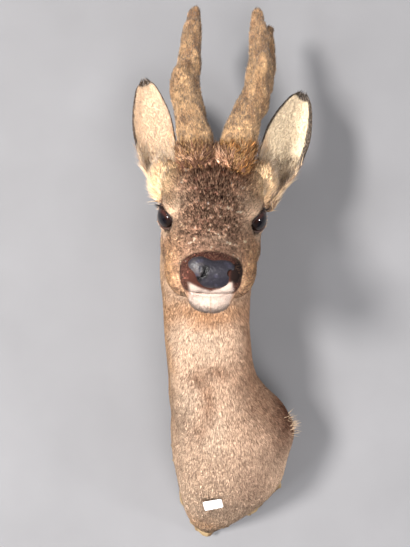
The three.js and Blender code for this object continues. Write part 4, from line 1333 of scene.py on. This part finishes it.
steel = streaked_paint("rolled_steel", (0.30, 0.30, 0.31), (0.52, 0.52, 0.53), (900, 900, 60), 0.38, 0.45,
                       0.0001)
pine = streaked_paint("bare_pine", tone(168, 124, 80), tone(214, 176, 128), (330, 330, 16), 0.72, 0.0, 0.0004)
put_on("back_board", pine)
put_on("hanger_plate", steel)
TACKS, TACK_IN, TACK_HEAD, TACK_POINT, TACK_THICK, TACK_SIDES = 26, 7.2, 1.9, 1.3, 0.55, 14
TACK_MIDDLE = np.array([12.0, 40.0])
angles = np.linspace(-math.pi, math.pi, TACKS, endpoint=False)
rays = np.stack([np.cos(angles), np.sin(angles)], 1)
reach = reach_of(lambda x, y, z: neck_level(x, y, z, -TACK_IN), TACK_MIDDLE, rays, 5.0, 190.0, 0.5)
spots = TACK_MIDDLE + rays * reach[:, None]
tack_roots = np.stack([spots[:, 0], np.full(TACKS, -0.1), spots[:, 1]], 1)
bristles("tacks", tack_roots, np.tile([0.0, 1.0, 0.0], (TACKS, 1)), np.ones(TACKS), TACK_THICK, TACK_HEAD,
         steel, 116, TACK_SIDES, TACK_POINT)

# ---- Paper label ----
# A small blank slip of white paper with rounded corners, stuck on the hair of the brisket and
# lifting a little at one corner.
label_verts = np.array([v.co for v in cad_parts["label"].data.vertices]) / MM
label_verts = np.unique(np.round(label_verts, 3), axis=0)
label_middle = label_verts.mean(0)
label_axes = np.linalg.eigh(np.cov((label_verts - label_middle).T))[1]
thin_way, _, wide_way = label_axes.T
wide_way = wide_way * np.sign(wide_way[0])
thin_way = thin_way * -np.sign(thin_way[1])
high_way = np.cross(thin_way, wide_way)
LABEL_WIDE, LABEL_HIGH, LABEL_THICK, LABEL_CORNER = 20.0, 17.5, 0.35, 1.6
COLUMNS, ROWS = 27, 19
u, v = np.meshgrid(np.linspace(-1, 1, COLUMNS), np.linspace(-1, 1, ROWS), indexing="ij")
across = u * LABEL_WIDE / 2
inset = np.maximum(np.abs(across) - (LABEL_WIDE / 2 - LABEL_CORNER), 0)
corner = np.sqrt(np.maximum(LABEL_CORNER ** 2 - inset ** 2, 0))
rise = v * (LABEL_HIGH / 2 - LABEL_CORNER + corner)
lift = 0.35 * np.sin(u * 2.1 + 0.4) * np.cos(v * 1.3) + 0.9 * np.clip(u * 0.6 + v * 0.6 - 0.75, 0, 1)
sheets = [label_middle + across[..., None] * wide_way + rise[..., None] * high_way
          + (lift + face)[..., None] * thin_way for face in (LABEL_THICK / 2, -LABEL_THICK / 2)]
label_points = np.concatenate([sheet.reshape(-1, 3) for sheet in sheets])
under = COLUMNS * ROWS
cells = np.arange(under).reshape(COLUMNS, ROWS)
front = np.stack([cells[:-1, :-1], cells[1:, :-1], cells[1:, 1:], cells[:-1, 1:]], -1).reshape(-1, 4)
rim_walk = np.concatenate([cells[:-1, 0], cells[-1, :-1], cells[:0:-1, -1], cells[0, :0:-1]])
rim_onward = np.roll(rim_walk, -1)
rim_faces = np.stack([rim_walk, rim_walk + under, rim_onward + under, rim_onward], 1)
label_faces = np.concatenate([front, front[:, ::-1] + under, rim_faces])
paper = streaked_paint("label_paper", (0.70, 0.71, 0.72), (0.80, 0.80, 0.80), (500, 500, 500), 0.7, 0.0,
                       0.00005)
make_piece("paper_label", label_points, label_faces, paper, ["label"])

# ---- Room ----
# A plain wall, which shows from its front only, and a floor below. A large soft lamp stands on the
# animal's right and a weaker one low on its left, two small ones put a glint in the eyes, and one
# behind lights the back.
world = bpy.data.worlds.new("room")
bpy.context.scene.world = world
world.use_nodes = True
daylight = world.node_tree.nodes["Background"].inputs
daylight["Color"].default_value = (0.88, 0.88, 0.90, 1)
daylight["Strength"].default_value = 0.72
bpy.context.scene.view_settings.view_transform = "Standard"


def soft_lamp(name, place, aim, size, power, tint, mirrored=True):
    lamp_data = bpy.data.lights.new(name, "AREA")
    lamp_data.shape = "DISK"
    lamp_data.size = size
    lamp_data.energy = power
    lamp_data.color = tint
    lamp = bpy.data.objects.new(name, lamp_data)
    lamp.location = place
    way = unit(np.array(aim) - np.array(place))
    lamp.rotation_euler = (math.acos(-way[2]), 0, math.atan2(way[1], way[0]) - math.pi / 2)
    lamp.visible_camera = False
    lamp.visible_glossy = mirrored
    bpy.context.scene.collection.objects.link(lamp)


soft_lamp("key_lamp", (-1.42, -2.0, 0.55), (0.0, -0.1, 0.2), 0.5, 150, (1.0, 0.97, 0.93))
soft_lamp("low_lamp", (0.4, -1.7, -0.5), (0.0, -0.1, 0.1), 1.0, 42, (1.0, 0.97, 0.94), False)
soft_lamp("right_eye_lamp", (-0.98, -1.37, -0.14), (-0.04, -0.15, 0.3), 0.3, 14, (1.0, 1.0, 1.0))
soft_lamp("left_eye_lamp", (1.25, -0.83, -0.05), (0.04, -0.15, 0.3), 0.2, 10, (1.0, 1.0, 1.0))
soft_lamp("back_lamp", (-0.5, 1.6, 0.5), (0.0, 0.0, 0.15), 0.8, 30, (1.0, 0.98, 0.96), False)

wall_paint, wall_tree, _ = blend_paint("wall_paint", {"Scale": 9, "Detail": 8}, (0.118, 0.118, 0.124),
                                       (0.150, 0.150, 0.158), Roughness=0.9)
wall_side = add_node(wall_tree, "ShaderNodeNewGeometry")
wall_clear = add_node(wall_tree, "ShaderNodeBsdfTransparent")
wall_either = add_node(wall_tree, "ShaderNodeMixShader", {
    0: wall_side.outputs["Backfacing"], 1: wall_tree.nodes["Principled BSDF"].outputs["BSDF"],
    2: wall_clear.outputs["BSDF"]})
wall_tree.links.new(wall_either.outputs["Shader"], wall_tree.nodes["Material Output"].inputs["Surface"])
WALL_WIDE, WALL_OFF, WALL_FOOT, WALL_TOP, FLOOR_OUT = 3.0, 0.0008, -1.1, 3.0, 4.0
CORNERS = ((-1, 0), (1, 0), (1, 1), (-1, 1))
for name, corners in (
        ("wall", [(x * WALL_WIDE, WALL_OFF, (WALL_FOOT, WALL_TOP)[top]) for x, top in CORNERS]),
        ("floor", [(x * FLOOR_OUT, (-FLOOR_OUT, FLOOR_OUT)[rear], WALL_FOOT) for x, rear in CORNERS])):
    stage_mesh = bpy.data.meshes.new(name)
    stage_mesh.from_pydata(corners, [], [(0, 1, 2, 3)])
    stage_mesh.materials.append(wall_paint)
    stage_piece = bpy.data.objects.new(name, stage_mesh)
    bpy.context.scene.collection.objects.link(stage_piece)
    stage_piece.visible_shadow = False
